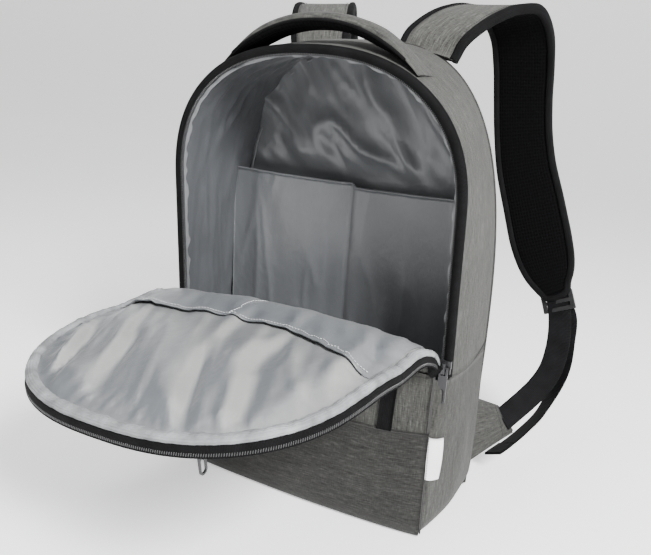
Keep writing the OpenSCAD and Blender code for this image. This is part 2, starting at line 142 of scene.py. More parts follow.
def wall_lines(count, d, rear_y, bottom=SEAM_Z):
    """Front and rear lines of the body's wall, from the right end round the arch to the left end."""
    side = np.linspace(0, 1, max(3, count // 3))[:-1]
    a = np.linspace(0, math.pi, count)
    ax, ay = arch_xy(BODY_HALF - d, ARCH_RISE - d, FRONT_EXP, a)
    b = REAR_START + (math.pi - 2 * REAR_START) * a / math.pi
    bx, bz = arch_xy(BODY_HALF - d, REAR_RISE - d, REAR_EXP, b)
    arch_f = zip_point(ax, ARCH_S + ay)
    arch_r = np.stack([bx, np.full(count, rear_y), REAR_ARCH_Z + bz], -1)
    zs = bottom + (SHOULDER_Z - bottom) * side
    side_f = zip_point(np.full(len(zs), BODY_HALF - d), (zs - HINGE_Z) / math.cos(LEAN))
    side_r = np.stack([rear_half(zs) - d, np.full(len(zs), rear_y), zs], -1)
    flip = np.array([-1, 1, 1])
    return (np.concatenate([side_f, arch_f, (side_f * flip)[::-1]]),
            np.concatenate([side_r, arch_r, (side_r * flip)[::-1]]))


# ------------------------------------------------------------------ noise
def fbm(points, scale, octaves=3, seed=0):
    """Smooth noise in -1..1 at each point, scale is a size in metres per axis."""
    points = np.asarray(points, float)
    q = points.reshape(-1, 3) / np.broadcast_to(np.asarray(scale, float), (3,)) + seed * 17.31
    total = np.zeros(len(q))
    for o in range(octaves):
        total += 0.5 ** o * np.array([noise.noise(Vector(p * 2 ** o)) for p in q])
    return total.reshape(points.shape[:-1])


def creases(points, scale, seed=0, sharp=3.0):
    """Thin ridges along the longer axis of scale, 0..1."""
    n = fbm(points, scale, 2, seed)
    return (1 - np.minimum(1, np.abs(n) * 2.2)) ** sharp


def smooth(t):
    t = np.clip(t, 0, 1)
    return t * t * (3 - 2 * t)


def unit(v):
    return v / np.maximum(np.linalg.norm(v, axis=-1, keepdims=True), 1e-12)


def arc_length(path):
    """Distance along a path at each of its points."""
    return np.concatenate([[0], np.cumsum(np.linalg.norm(np.diff(path, axis=0), axis=1))])


def rows_of(way, count):
    return np.tile(np.array(way, float), (count, 1))


def follow_base(line, gap):
    """Below the hinge, bring a wall line as far in as the base is narrow."""
    low = line[:, 2] < HINGE_Z
    line[low, 0] = np.sign(line[low, 0]) * (lower_half(line[low, 2]) - gap)


def round_line(d, side, ax, ay):
    """Flat line up the right side, over an arch and down the left side: x and s."""
    return (np.concatenate([np.full(len(side), BODY_HALF - d), ax, np.full(len(side), d - BODY_HALF)]),
            np.concatenate([side, ARCH_S + ay, side[::-1]]))


def rounded_box(half_w, half_h, r):
    """Outline of a rectangle with round corners, anticlockwise."""
    return [(cx * (half_w - r) + r * math.cos(math.radians(a)), cy * (half_h - r) + r * math.sin(math.radians(a)))
            for cx, cy, a0 in ((1, 1, 0), (-1, 1, 90), (-1, -1, 180), (1, -1, 270))
            for a in range(a0, a0 + 91, 15)]


# ------------------------------------------------------------------ mesh builders
FINE_STITCH = (3 * MM, 2.2 * MM, 0.3 * MM)


def add_object(name, verts, faces, uv, mat, normals=None):
    mesh = bpy.data.meshes.new(name)
    mesh.from_pydata([tuple(v) for v in verts], [], [tuple(int(i) for i in f) for f in faces])
    layer = mesh.uv_layers.new(name="cloth")
    loops = np.empty(len(mesh.loops), int)
    mesh.loops.foreach_get("vertex_index", loops)
    layer.data.foreach_set("uv", np.asarray(uv, float)[loops].ravel())
    for p in mesh.polygons:
        p.use_smooth = True
    mesh.update()
    if normals is not None:
        mesh.normals_split_custom_set_from_vertices([tuple(n) for n in normals])
    mesh.materials.append(mat)
    obj = bpy.data.objects.new(name, mesh)
    bpy.context.collection.objects.link(obj)
    return obj


def grid_faces(nu, nv, closed_v=False):
    cols = nv if closed_v else nv - 1
    return [(i * nv + j, (i + 1) * nv + j, (i + 1) * nv + (j + 1) % nv, i * nv + (j + 1) % nv)
            for i in range(nu - 1) for j in range(cols)]


def grid_uv(grid):
    du = np.linalg.norm(np.diff(grid, axis=0), axis=2).mean(1)
    dv = np.linalg.norm(np.diff(grid, axis=1), axis=2).mean(0)
    u = np.concatenate([[0], np.cumsum(du)])
    v = np.concatenate([[0], np.cumsum(dv)])
    return np.stack(np.meshgrid(u, v, indexing="ij"), -1)


def grid_normals(grid):
    return unit(np.cross(np.gradient(grid, axis=0), np.gradient(grid, axis=1)))


def shell_grid(name, grid, thick, mat, outward=1, swap=False):
    """A sheet of cloth with thickness: grid is its outer face, outward says which side of the grid is out."""
    nu, nv = grid.shape[:2]
    n = grid_normals(grid) * outward
    inner = grid - n * thick
    uv = grid_uv(grid)
    if swap:
        uv = uv[..., ::-1]
    top = grid_faces(nu, nv)
    size = nu * nv
    if outward < 0:
        top = [f[::-1] for f in top]
    low = [tuple(i + size for i in f[::-1]) for f in top]
    ring = ([(i, 0) for i in range(nu)] + [(nu - 1, j) for j in range(1, nv)]
            + [(i, nv - 1) for i in range(nu - 2, -1, -1)] + [(0, j) for j in range(nv - 2, 0, -1)])
    edge = [i * nv + j for i, j in ring]
    rim = []
    for a, b in zip(edge, edge[1:] + edge[:1]):
        quad = (a, a + size, b + size, b)
        rim.append(quad if outward < 0 else quad[::-1])
    verts = np.concatenate([grid.reshape(-1, 3), inner.reshape(-1, 3)])
    uvs = np.concatenate([uv.reshape(-1, 2)] * 2)
    return add_object(name, verts, top + low + rim, uvs, mat)


def frames(path, ways):
    """Directions ahead, across and up at each path point, with ways roughly across."""
    ahead = unit(np.gradient(path, axis=0))
    side = unit(ways - ahead * (ways * ahead).sum(1, keepdims=True))
    return ahead, side, np.cross(side, ahead)


def sweep(name, path, section, mat, ways):
    """A closed tube: section is (across, up) points, ways the across direction at each path point."""
    path, section = np.asarray(path, float), np.asarray(section, float)
    _, side, up = frames(path, ways)
    if section.ndim == 2:
        section = np.repeat(section[None], len(path), 0)
    ring = path[:, None] + side[:, None] * section[..., :1] + up[:, None] * section[..., 1:]
    nu, nv = ring.shape[:2]
    faces = [f[::-1] for f in grid_faces(nu, nv, closed_v=True)]
    faces += [tuple(range(nv)), tuple((nu - 1) * nv + k for k in range(nv - 1, -1, -1))]
    around = arc_length(np.concatenate([ring[0], ring[0][:1]]))[:nv]
    uv = np.stack(np.meshgrid(arc_length(path), around, indexing="ij"), -1)[..., ::-1]
    return add_object(name, ring.reshape(-1, 3), faces, uv.reshape(-1, 2), mat)


def resample(path, count):
    """Smooth curve through points (centripetal by chord), at even spacing."""
    p = np.asarray(path, float)
    t = np.concatenate([[0], np.cumsum(np.linalg.norm(np.diff(p, axis=0), axis=1) ** 0.5)])
    fine = np.linspace(0, t[-1], 40 * len(p))
    m = np.gradient(p, t, axis=0)
    k = np.clip(np.searchsorted(t, fine, side="right") - 1, 0, len(t) - 2)
    h = (t[k + 1] - t[k])[:, None]
    u = ((fine - t[k])[:, None]) / h
    q = ((2 * u ** 3 - 3 * u ** 2 + 1) * p[k] + (u ** 3 - 2 * u ** 2 + u) * h * m[k]
         + (-2 * u ** 3 + 3 * u ** 2) * p[k + 1] + (u ** 3 - u ** 2) * h * m[k + 1])
    d = arc_length(q)
    s = np.linspace(0, d[-1], count)
    return np.stack([np.interp(s, d, q[:, i]) for i in range(3)], -1)


def round_section(w, h, n=6, power=2.6):
    """Closed rounded flat section, w across and h up, counted anticlockwise."""
    a = np.linspace(0, 2 * math.pi, 4 * n, endpoint=False)
    return np.stack([w / 2 * signed_power(np.cos(a), 2 / power),
                     h / 2 * signed_power(np.sin(a), 2 / power)], -1)


def panel_mesh(outline, spacing, cuts=()):
    """Even triangles inside a flat outline. cuts are straight lines that no triangle crosses."""
    outline = np.asarray(outline, float)
    loop = np.concatenate([outline, outline[:1]])
    border = []
    for a, b in zip(loop[:-1], loop[1:]):
        steps = max(1, int(round(np.linalg.norm(b - a) / spacing)))
        border += [a + (b - a) * k / steps for k in range(steps)]
    border = np.array(border)
    points = [tuple(p) for p in border]
    edges = [(i, (i + 1) % len(border)) for i in range(len(border))]
    lo, hi = outline.min(0), outline.max(0)
    for y in cuts:
        xs = sorted(a[0] + (b[0] - a[0]) * (y - a[1]) / (b[1] - a[1])
                    for a, b in zip(loop[:-1], loop[1:]) if (a[1] - y) * (b[1] - y) < 0)
        steps = int((xs[-1] - xs[0]) / spacing)
        first = len(points)
        points += [(x, y) for x in np.linspace(xs[0], xs[-1], steps)]
        edges += [(first + i, first + i + 1) for i in range(steps - 1)]
    rows = np.arange(lo[1] + spacing * 0.5, hi[1], spacing * 0.866)
    inner = []
    for r, y in enumerate(rows):
        if any(abs(y - c) < spacing * 0.45 for c in cuts):
            continue
        for x in np.arange(lo[0] + spacing * (0.5 if r % 2 else 1.0), hi[0], spacing):
            inner.append((x, y))
    inner = np.array(inner)
    x0, y0 = loop[:-1, 0], loop[:-1, 1]
    x1, y1 = loop[1:, 0], loop[1:, 1]
    crossing = ((y0[None] > inner[:, 1:]) != (y1[None] > inner[:, 1:])) & (
        inner[:, :1] < (x1 - x0)[None] * (inner[:, 1:] - y0[None])
        / np.where(y1 == y0, 1e-12, y1 - y0)[None] + x0[None])
    inside = crossing.sum(1) % 2 == 1
    clear = np.array([np.min(((border - q) ** 2).sum(1)) for q in inner]) > (0.45 * spacing) ** 2
    points += [tuple(q) for q in inner[inside & clear]]
    v, _, f, *_ = geometry.delaunay_2d_cdt([Vector(p) for p in points], edges, [], 1, 1e-7)
    return np.array([tuple(q) for q in v]), [tuple(t) for t in f]


def boundary_edges(faces):
    seen = {(a, b): True for f in faces for a, b in zip(f, f[1:] + f[:1])}
    return [(a, b) for a, b in seen if (b, a) not in seen]


def vertex_normals(points, faces):
    n = np.zeros_like(points)
    f = np.array(faces)
    fn = np.cross(points[f[:, 1]] - points[f[:, 0]], points[f[:, 2]] - points[f[:, 0]])
    for k in range(3):
        np.add.at(n, f[:, k], fn)
    return unit(n)


def shell_panel(name, flat, faces, points, thick, mat, keep=None, out=1):
    """A sheet with thickness from flat triangles lifted to points. keep picks the faces of one part of it."""
    normals = vertex_normals(points, faces) * out
    if keep is not None:
        mid = flat[np.array(faces)].mean(1)
        faces = [f for f, k in zip(faces, keep(mid)) if k]
    used = sorted({i for f in faces for i in f})
    index = {old: new for new, old in enumerate(used)}
    faces = [tuple(index[i] for i in f) for f in faces]
    if out < 0:
        faces = [f[::-1] for f in faces]
    points, normals, uv = points[used], normals[used], flat[used]
    size = len(points)
    rim = [(a, a + size, b + size, b) for a, b in boundary_edges(faces)]
    low = [tuple(i + size for i in f[::-1]) for f in faces]
    verts = np.concatenate([points, points - normals * thick])
    return add_object(name, verts, faces + low + [r[::-1] for r in rim],
                      np.concatenate([uv, uv]), mat, np.concatenate([normals, -normals]))


def tube(name, path, r, mat, sides=8):
    a = np.linspace(0, 2 * math.pi, sides, endpoint=False)
    section = np.stack([r * np.cos(a), r * np.sin(a)], -1)
    return sweep(name, path, section, mat, np.cross(np.gradient(path, axis=0), np.array([0.13, 0.31, 0.94])))


def join_meshes(name, parts, mat):
    """One object from many small (verts, faces) parts."""
    verts, faces, start = [], [], 0
    for v, f in parts:
        verts.append(v)
        faces += [tuple(i + start for i in q) for q in f]
        start += len(v)
    verts = np.concatenate(verts)
    return add_object(name, verts, faces, verts[:, [0, 2]], mat)


def pill(length, r, h, n=6):
    """A low rounded bar along +X, the shape of one stitch or one zip tooth."""
    a = np.linspace(0, 2 * math.pi, n, endpoint=False)
    rings = []
    for x, k in ((-0.5, 0.35), (-0.36, 1), (0.36, 1), (0.5, 0.35)):
        rings.append(np.stack([np.full(n, x * length), r * k * np.cos(a), h * k * np.sin(a)], -1))
    faces = []
    for i in range(3):
        for j in range(n):
            k = (j + 1) % n
            faces.append((i * n + j, i * n + k, (i + 1) * n + k, (i + 1) * n + j))
    faces += [tuple(range(n - 1, -1, -1)), tuple(3 * n + j for j in range(n))]
    return np.concatenate(rings), faces


def along_path(path, normals, pitch):
    """Places at an even pitch: point, direction and normal."""
    path = np.asarray(path, float)
    d = arc_length(path)
    s = np.arange(pitch / 2, d[-1], pitch)
    at = np.stack([np.interp(s, d, path[:, i]) for i in range(3)], -1)
    ahead = np.stack([np.interp(s + 1e-4, d, path[:, i]) for i in range(3)], -1) - np.stack(
        [np.interp(s - 1e-4, d, path[:, i]) for i in range(3)], -1)
    ahead = unit(ahead)
    n = np.stack([np.interp(s, d, normals[:, i]) for i in range(3)], -1)
    n -= ahead * (n * ahead).sum(1, keepdims=True)
    n = unit(n)
    return at, ahead, n


def stitches(name, path, normals, mat, pitch=3.2 * MM, length=2.3 * MM, r=0.35 * MM):
    at, ahead, n = along_path(path, normals, pitch)
    shape, faces = pill(length, r, r)
    parts = []
    for p, a, u in zip(at, ahead, n):
        side = np.cross(u, a)
        parts.append((p + shape[:, :1] * a + shape[:, 1:2] * side + shape[:, 2:] * u, faces))
    return join_meshes(name, parts, mat)


def teeth(name, path, normals, mat, pitch=1.7 * MM, width=3.4 * MM, r=0.55 * MM):
    """Coil teeth: low bars that lie across the path."""
    at, ahead, n = along_path(path, normals, pitch)
    shape, faces = pill(width, r, r * 1.5)
    parts = []
    for p, a, u in zip(at, ahead, n):
        side = np.cross(u, a)
        parts.append((p + shape[:, :1] * (side + 0.25 * a) + shape[:, 1:2] * a + shape[:, 2:] * u,
                      faces))
    return join_meshes(name, parts, mat)


# ------------------------------------------------------------------ materials
def new_material(name):
    mat = bpy.data.materials.new(name)
    mat.use_nodes = True
    tree = mat.node_tree
    return mat, tree, tree.nodes["Principled BSDF"]


def node(tree, kind, **values):
    n = tree.nodes.new(kind)
    for k, v in values.items():
        if k in n.inputs:
            n.inputs[k].default_value = v
        else:
            setattr(n, k, v)
    return n


def link(tree, a, b):
    tree.links.new(a, b)


def coordinates(tree, scale, source="cloth"):
    """Cloth coordinates in metres, or the object's own, stretched by scale."""
    if source == "cloth":
        src = node(tree, "ShaderNodeUVMap", uv_map="cloth").outputs["UV"]
    else:
        src = node(tree, "ShaderNodeTexCoord").outputs["Object"]
    m = node(tree, "ShaderNodeMapping")
    m.inputs["Scale"].default_value = scale
    link(tree, src, m.inputs["Vector"])
    return m.outputs["Vector"]


def noise_fac(tree, scale, detail=2.0, source="cloth", flat=True):
    n = node(tree, "ShaderNodeTexNoise", Scale=1.0, Detail=detail)
    n.noise_dimensions = "2D" if flat else "3D"
    link(tree, coordinates(tree, scale, source), n.inputs["Vector"])
    return n.outputs["Fac"]


def set_inputs(bsdf, values):
    for k, v in values.items():
        bsdf.inputs[k].default_value = v


def ramp(tree, fac, stops):
    r = node(tree, "ShaderNodeValToRGB")
    while len(r.color_ramp.elements) < len(stops):
        r.color_ramp.elements.new(0.5)
    for e, (at, c) in zip(r.color_ramp.elements, stops):
        e.position = at
        e.color = (*(c if hasattr(c, "__len__") else (c, c, c)), 1)
    link(tree, fac, r.inputs["Fac"])
    return r.outputs["Color"]


def mix_color(tree, kind, fac, a, b):
    m = node(tree, "ShaderNodeMix", data_type="RGBA", blend_type=kind)
    for socket, value in ((m.inputs[0], fac), (m.inputs[6], a), (m.inputs[7], b)):
        if isinstance(value, bpy.types.NodeSocket):
            link(tree, value, socket)
        else:
            socket.default_value = value
    return m.outputs[2]


def add_bump(tree, bsdf, height, strength, distance, under=None):
    b = node(tree, "ShaderNodeBump")
    b.inputs["Strength"].default_value = strength
    b.inputs["Distance"].default_value = distance
    link(tree, height, b.inputs["Height"])
    if under is not None:
        link(tree, under, b.inputs["Normal"])
    link(tree, b.outputs["Normal"], bsdf.inputs["Normal"])
    return b.outputs["Normal"]


def math_node(tree, op, a, b):
    m = node(tree, "ShaderNodeMath", operation=op)
    for socket, value in ((m.inputs[0], a), (m.inputs[1], b)):
        if isinstance(value, bpy.types.NodeSocket):
            link(tree, value, socket)
        else:
            socket.default_value = value
    return m.outputs[0]


def weave_height(tree, pitch, source="cloth"):
    """Plain weave: two crossing waves."""
    v = coordinates(tree, (1, 1, 1), source)
    waves = []
    for axis in ("X", "Y"):
        w = node(tree, "ShaderNodeTexWave", wave_type="BANDS", bands_direction=axis)
        w.inputs["Scale"].default_value = 0.314 / pitch
        w.inputs["Distortion"].default_value = 0.4
        link(tree, v, w.inputs["Vector"])
        waves.append(w.outputs["Fac"])
    return math_node(tree, "MULTIPLY", waves[0], waves[1])


def heather(name, dark, mid, light, tint=(1, 1, 0.92)):
    """Melange cloth: light and dark yarns that run along the cloth's second coordinate."""
    mat, tree, bsdf = new_material(name)
    yarn = noise_fac(tree, (950, 110, 1), 2.5)
    weft = noise_fac(tree, (230, 1000, 1), 1.5)
    slub = noise_fac(tree, (300, 28, 1))
    both = math_node(tree, "ADD", math_node(tree, "MULTIPLY", yarn, 0.5),
                     math_node(tree, "MULTIPLY", weft, 0.25))
    both = math_node(tree, "ADD", both, math_node(tree, "MULTIPLY", slub, 0.25))
    tinted = [(at, tuple(c * t for t in tint)) for at, c in
              ((0.34, dark), (0.46, mid * 0.9), (0.54, mid * 1.08), (0.68, light))]
    color = ramp(tree, both, tinted)
    wear = noise_fac(tree, (9, 9, 9), 4.0, source="object", flat=False)
    tone = ramp(tree, wear, ((0.3, 0.88), (0.7, 1.08)))
    color = mix_color(tree, "MULTIPLY", 1.0, color, tone)
    link(tree, color, bsdf.inputs["Base Color"])
    set_inputs(bsdf, {"Roughness": 0.92, "Specular IOR Level": 0.25, "Sheen Weight": 0.05,
                      "Sheen Roughness": 0.5})
    first = add_bump(tree, bsdf, both, 0.55, 0.0007)
    add_bump(tree, bsdf, weave_height(tree, 0.0011), 0.35, 0.0003, first)
    return mat


def satin(name, color, shade, painted_sheen_way=None):
    """Fine lining cloth with a soft shine and a tight twill. With a sheen direction given, a painted sheen goes
    into the base colour: slopes that face it are painted lighter and warmer, slopes that face away darker and
    bluer.
    """
    mat, tree, bsdf = new_material(name)
    big = noise_fac(tree, (30, 14, 1), 3.0, flat=False)
    tone = ramp(tree, big, ((0.25, tuple(c * 0.9 for c in color)),
                                           (0.75, tuple(min(1, c * 1.07) for c in color))))
    thread = noise_fac(tree, (1500, 160, 1))
    fine = ramp(tree, thread, ((0.3, shade), (0.7, 1.0)))
    cloth = mix_color(tree, "MULTIPLY", 0.6, tone, fine)
    if painted_sheen_way is not None:
        # painted sheen: the object-space normal dotted with the sheen direction picks a tone from painted bluish
        # shade to painted warm highlight, multiplied into the base colour
        slope = node(tree, "ShaderNodeVectorMath", operation="DOT_PRODUCT")
        link(tree, node(tree, "ShaderNodeTexCoord").outputs["Normal"], slope.inputs[0])
        slope.inputs[1].default_value = painted_sheen_way
        facing = math_node(tree, "ADD", slope.outputs["Value"], 0.5)
        painted_sheen_tone = ramp(tree, facing, ((0.0, (0.52, 0.55, 0.59)), (1.0, (1.42, 1.38, 1.32))))
        cloth = mix_color(tree, "MULTIPLY", 1.0, cloth, painted_sheen_tone)
    link(tree, cloth, bsdf.inputs["Base Color"])
    set_inputs(bsdf, {"Roughness": 0.33, "Specular IOR Level": 0.7, "Anisotropic": 0.4,
                      "Sheen Weight": 0.1, "Sheen Roughness": 0.35})
    crinkle = noise_fac(tree, (120, 75, 1), 3.0)
    first = add_bump(tree, bsdf, crinkle, 0.35, 0.0012)
    add_bump(tree, bsdf, weave_height(tree, 0.0007), 0.2, 0.0002, first)
    return mat


def ribbed(name, color, pitch, along=True, source="cloth", rough=0.75):
    """Webbing or tape: ribs along or across the cloth's second coordinate."""
    mat, tree, bsdf = new_material(name)
    v = coordinates(tree, (1, 1, 1), source)
    rib = node(tree, "ShaderNodeTexWave", wave_type="BANDS", bands_direction="X" if along else "Y")
    rib.inputs["Scale"].default_value = 0.314 / pitch
    link(tree, v, rib.inputs["Vector"])
    cross = node(tree, "ShaderNodeTexWave", wave_type="BANDS", bands_direction="DIAGONAL")
    cross.inputs["Scale"].default_value = 0.2 / pitch
    link(tree, v, cross.inputs["Vector"])
    height = math_node(tree, "ADD", rib.outputs["Fac"],
                       math_node(tree, "MULTIPLY", cross.outputs["Fac"], 0.5))
    lint = noise_fac(tree, (60, 60, 60), 6.0, source="object", flat=False)
    tone = ramp(tree, lint, ((0.35, tuple(c * 0.75 for c in color)),
                                            (0.75, tuple(c * 1.6 for c in color))))
    link(tree, tone, bsdf.inputs["Base Color"])
    set_inputs(bsdf, {"Roughness": rough, "Specular IOR Level": 0.08, "Sheen Weight": 0.0})
    add_bump(tree, bsdf, height, 0.6, 0.0005)
    return mat


def air_mesh(name, color):
    """Knitted spacer mesh: rows of small open cells."""
    mat, tree, bsdf = new_material(name)
    cell = node(tree, "ShaderNodeTexVoronoi", voronoi_dimensions="2D", feature="F1")
    link(tree, coordinates(tree, (340, 260, 1)), cell.inputs["Vector"])
    cell.inputs["Scale"].default_value = 1.0
    cell.inputs["Randomness"].default_value = 0.15
    hole = ramp(tree, cell.outputs["Distance"], ((0.15, tuple(c * 0.3 for c in color)),
                                                 (0.55, color)))
    link(tree, hole, bsdf.inputs["Base Color"])
    set_inputs(bsdf, {"Roughness": 0.9, "Specular IOR Level": 0.05, "Sheen Weight": 0.0})
    add_bump(tree, bsdf, cell.outputs["Distance"], 0.8, 0.0009)
    return mat


def hard(name, color, metallic, rough, grain, source="object"):
    """Metal or moulded plastic with fine grain, lighter and rougher in random spots."""
    mat, tree, bsdf = new_material(name)
    n = noise_fac(tree, (grain, grain, grain * 0.35), 5.0, source=source, flat=False)
    tone = ramp(tree, n, ((0.3, tuple(c * 0.8 for c in color)),
                                         (0.72, tuple(c * 1.35 for c in color))))
    link(tree, tone, bsdf.inputs["Base Color"])
    bsdf.inputs["Metallic"].default_value = metallic
    r = ramp(tree, n, ((0.3, rough * 0.8), (0.7, min(1, rough * 1.3))))
    link(tree, r, bsdf.inputs["Roughness"])
    add_bump(tree, bsdf, n, 0.2, 0.0002)
    return mat


def solar_cell_material(name):
    """Dark silicon cells with thin silver fingers and busbars."""
    mat, tree, bsdf = new_material(name)
    v = coordinates(tree, (1, 1, 1), "object")
    finger = node(tree, "ShaderNodeTexWave", wave_type="BANDS", bands_direction="Y")
    finger.inputs["Scale"].default_value = 0.314 / 0.0022
    link(tree, v, finger.inputs["Vector"])
    bus = node(tree, "ShaderNodeTexWave", wave_type="BANDS", bands_direction="X")
    bus.inputs["Scale"].default_value = 0.314 / 0.0153
    link(tree, v, bus.inputs["Vector"])
    lines = math_node(tree, "MAXIMUM", ramp(tree, finger.outputs["Fac"], ((0.93, 0.0), (0.98, 0.35))),
                      ramp(tree, bus.outputs["Fac"], ((0.985, 0.0), (0.995, 1.0))))
    n = noise_fac(tree, (25, 25, 25), source="object", flat=False)
    blue = ramp(tree, n, ((0.3, (0.006, 0.010, 0.030)), (0.7, (0.014, 0.022, 0.060))))
    link(tree, mix_color(tree, "MIX", lines, blue, (0.35, 0.36, 0.38, 1)), bsdf.inputs["Base Color"])
    set_inputs(bsdf, {"Roughness": 0.12, "Coat Weight": 0.6, "Coat Roughness": 0.08})
    return mat


M = {
    "heather": heather("heather_cloth", 0.017, 0.042, 0.080),
    "heather_low": heather("heather_low_cloth", 0.014, 0.033, 0.062),
    "heather_strap": heather("heather_strap_cloth", 0.020, 0.051, 0.097),
    # darker copy of the heather cloth: painted shade, the shade that the flap casts on the front pocket; the
    # base, piping, yoke and pocket hem share it
    "heather_dark": heather("heather_dark_painted_shade_cloth", 0.008, 0.019, 0.040),
    # the linings are one satin in lit and shaded copies: the interior lining and the darker wall lining are
    # painted shade inside the bag, against the lighter flap lining
    "lining": satin("lining_satin", (0.105, 0.110, 0.116), 0.86),
    "wall_lining": satin("wall_lining_painted_shade_satin", (0.062, 0.065, 0.070), 0.86),
    # the flap and pocket linings carry the painted sheen in their colour; the pocket lining is also a darker copy
    # of the flap lining
    "flap_lining": satin("flap_lining_painted_sheen_satin", (0.175, 0.180, 0.184), 0.88, (1.3, 0.64, 0.0)),
    "pocket_lining": satin("pocket_lining_painted_sheen_satin", (0.118, 0.126, 0.136), 0.88, (1.3, 0.64, 0.0)),
    # lighter copy of the lining satin for its edge by the zip: a painted highlight
    "lining_edge": satin("lining_edge_painted_highlight_satin", (0.12, 0.125, 0.13), 0.8),
    "binding": ribbed("binding_tape", (0.19, 0.196, 0.20), 0.0016, along=False, rough=0.6),
    "air_mesh": air_mesh("air_mesh", (0.0022, 0.0022, 0.0025)),
    "tape": ribbed("zip_tape", (0.003, 0.003, 0.0033), 0.0010),
    "webbing": ribbed("webbing", (0.0032, 0.0032, 0.0036), 0.0017, along=False),
    "coil": hard("coil_nylon", (0.022, 0.022, 0.023), 0.0, 0.32, 500),
    "metal": hard("gunmetal", (0.030, 0.030, 0.032), 0.55, 0.34, 260),
    "buckle": hard("moulded_black", (0.005, 0.005, 0.0055), 0.0, 0.5, 700),
    "leaf": ribbed("leaf_canvas", (0.014, 0.014, 0.015), 0.0012, source="object", rough=0.6),
    "cell": solar_cell_material("solar_cells"),
    "tag": satin("tag_satin", (0.80, 0.80, 0.79), 0.95),
    "thread": hard("thread_grey", (0.22, 0.22, 0.215), 0.0, 0.8, 900),
    "thread_light": hard("thread_light", (0.46, 0.47, 0.475), 0.0, 0.8, 900),
    "thread_dark": hard("thread_dark", (0.02, 0.02, 0.02), 0.0, 0.8, 900),
}


def place(obj, body, slot, *nodes):
    """Ride on a body and stand for nodes; slot is not used."""
    if body is not None:
        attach(obj, body)
    if nodes:
        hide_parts(*nodes)
    return obj


def dress(obj, mat):
    """Give a node of the frame one material."""
    obj.data.materials.clear()
    obj.data.materials.append(mat)


def stand(obj):
    """Press a piece's lowest points onto the surface that the bag stands on."""
    for v in obj.data.vertices:
        v.co.z = max(v.co.z, 0.1 * MM)
    return obj


# ------------------------------------------------------------------ body
def body_wall():
    """The gusset's outer cloth, one strip round the arch."""
    f, r = wall_lines(61, 0.0, BACK_Y - 3 * MM)
    w = np.linspace(0, 1, 25)
    grid = f[:, None] + (r - f)[:, None] * w[None, :, None]
    n = grid_normals(grid)
    if n[30, 12, 2] < 0:
        n = -n
    push = 3.0 * MM * np.sin(math.pi * w)[None] ** 0.8
    waves = fbm(grid, (0.05, 0.06, 0.11), 2, 3) * 1.3 * MM
    tight = np.sin(math.pi * w)[None]
    grid = grid + n * (push + waves * tight)[..., None]
    obj = shell_grid("gusset_cloth", grid, 2.5 * MM, M["heather"], -1, swap=True)
    return place(obj, "root", "heather", "gusset_left", "gusset_right", "gusset_top")


def side_cloth(sign, word):
    """The side below the hinge, from the front seam round the corner to the rear seam."""
    zs = np.concatenate([np.linspace(0, 24, 7), np.linspace(32, SEAM_Z / MM, 22)]) * MM
    rows = []
    for z in zs:
        h, y = float(lower_half(z)), float(front_face(z))
        low = math.sin(math.pi * min(1.0, (z / SEAM_Z) ** 0.6))
        edge = seam_x(z)
        corner = np.array([[edge, y], [edge + (h - edge) * 0.5, y + 1.2 * MM],
                           [h - 1.0 * MM, y + 8 * MM], [h + 0.6 * MM, y + 17 * MM],
                           [h + 1.5 * MM + 2.5 * MM * low, y + 40 * MM],
                           [h + 1.5 * MM + 4.0 * MM * low, y + 75 * MM], [h + 3.0 * MM * low, BACK_Y - 2 * MM]])
        line = resample(np.c_[corner, np.zeros(len(corner))], 34)
        tuck = 20 * MM
        inward = tuck * (1 - math.sqrt(max(0.0, 1 - (max(0.0, tuck - z) / tuck) ** 2))) * 0.55
        x = line[:, 0] - inward
        rows.append(np.stack([x * sign, line[:, 1] + inward * 0.5 * (line[:, 1] < 0), np.full(34, z)], -1))
    grid = np.array(rows)
    n = grid_normals(grid)
    if n[15, 20, 0] * sign < 0:
        n = -n
    u = np.linspace(0, 1, 34)
    v = (zs / SEAM_Z)[:, None]
    soft = np.sin(math.pi * u)[None] * np.sin(math.pi * np.clip(v, 0.02, 0.98)) ** 0.6
    waves = fbm(grid, (0.08, 0.035, 0.09), 2, 8 + sign)
    grid = grid + n * ((2.2 * waves + 1.5) * MM * soft)[..., None]
    obj = shell_grid(f"side_cloth_{word}", grid, 2.5 * MM, M["heather_low"],
                     1 if sign < 0 else -1, swap=True)
    return place(stand(obj), "root", "heather", f"side_panel_{word}")


def front_cloth():
    """Front panel above the pocket, grain upright."""
    zs = np.linspace(8 * MM, 157 * MM, 40)
    xs = np.linspace(-1, 1, 61)
    grid = np.empty((40, 61, 3))
    k = np.cos(math.pi * xs / 2)
    for i, z in enumerate(zs):
        y = float(front_face(z)) - 1.5 * MM * k
        grid[i] = np.stack([xs * float(seam_x(z)), y, np.full(61, z)], -1)
    waves = fbm(grid, (0.05, 0.05, 0.1), 2, 5)
    grid[..., 1] -= waves * 1.2 * MM * k[None]
    obj = shell_grid("front_cloth", grid, 2.5 * MM, M["heather"], 1, swap=True)
    return place(obj, "root", "heather", "front_panel")


def pocket_mouth(x):
    k = 1 - (x / FRONT_EDGE) ** 2
    return POCKET_Z + 5 * MM - 9 * MM * k + 2.0 * MM * np.sin(x * 38 + 0.6) * k


def pocket_surface(x, t):
    """Point of the pocket's face: x across, t from 0 at the base to 1 at the mouth."""
    k = 1 - (x / (FRONT_EDGE + 3 * MM)) ** 2
    z = pocket_mouth(x) * t
    tuck = 22 * MM
    inward = tuck * (1 - np.sqrt(np.clip(1 - (np.clip(tuck - z, 0, tuck) / tuck) ** 2, 0, 1))) * 0.5
    belly = 15 * MM * k ** 0.75 * (0.55 + 0.45 * np.sin(math.pi * np.clip(t * 0.85 + 0.08, 0, 1)))
    belly = belly * (1 - 0.42 * smooth((t - 0.72) / 0.28))
    edge = 1.6 * MM * (1 - k)
    return np.stack([x * (1 - inward * 2.2), FRONT_Y - belly - edge + inward, z], -1)


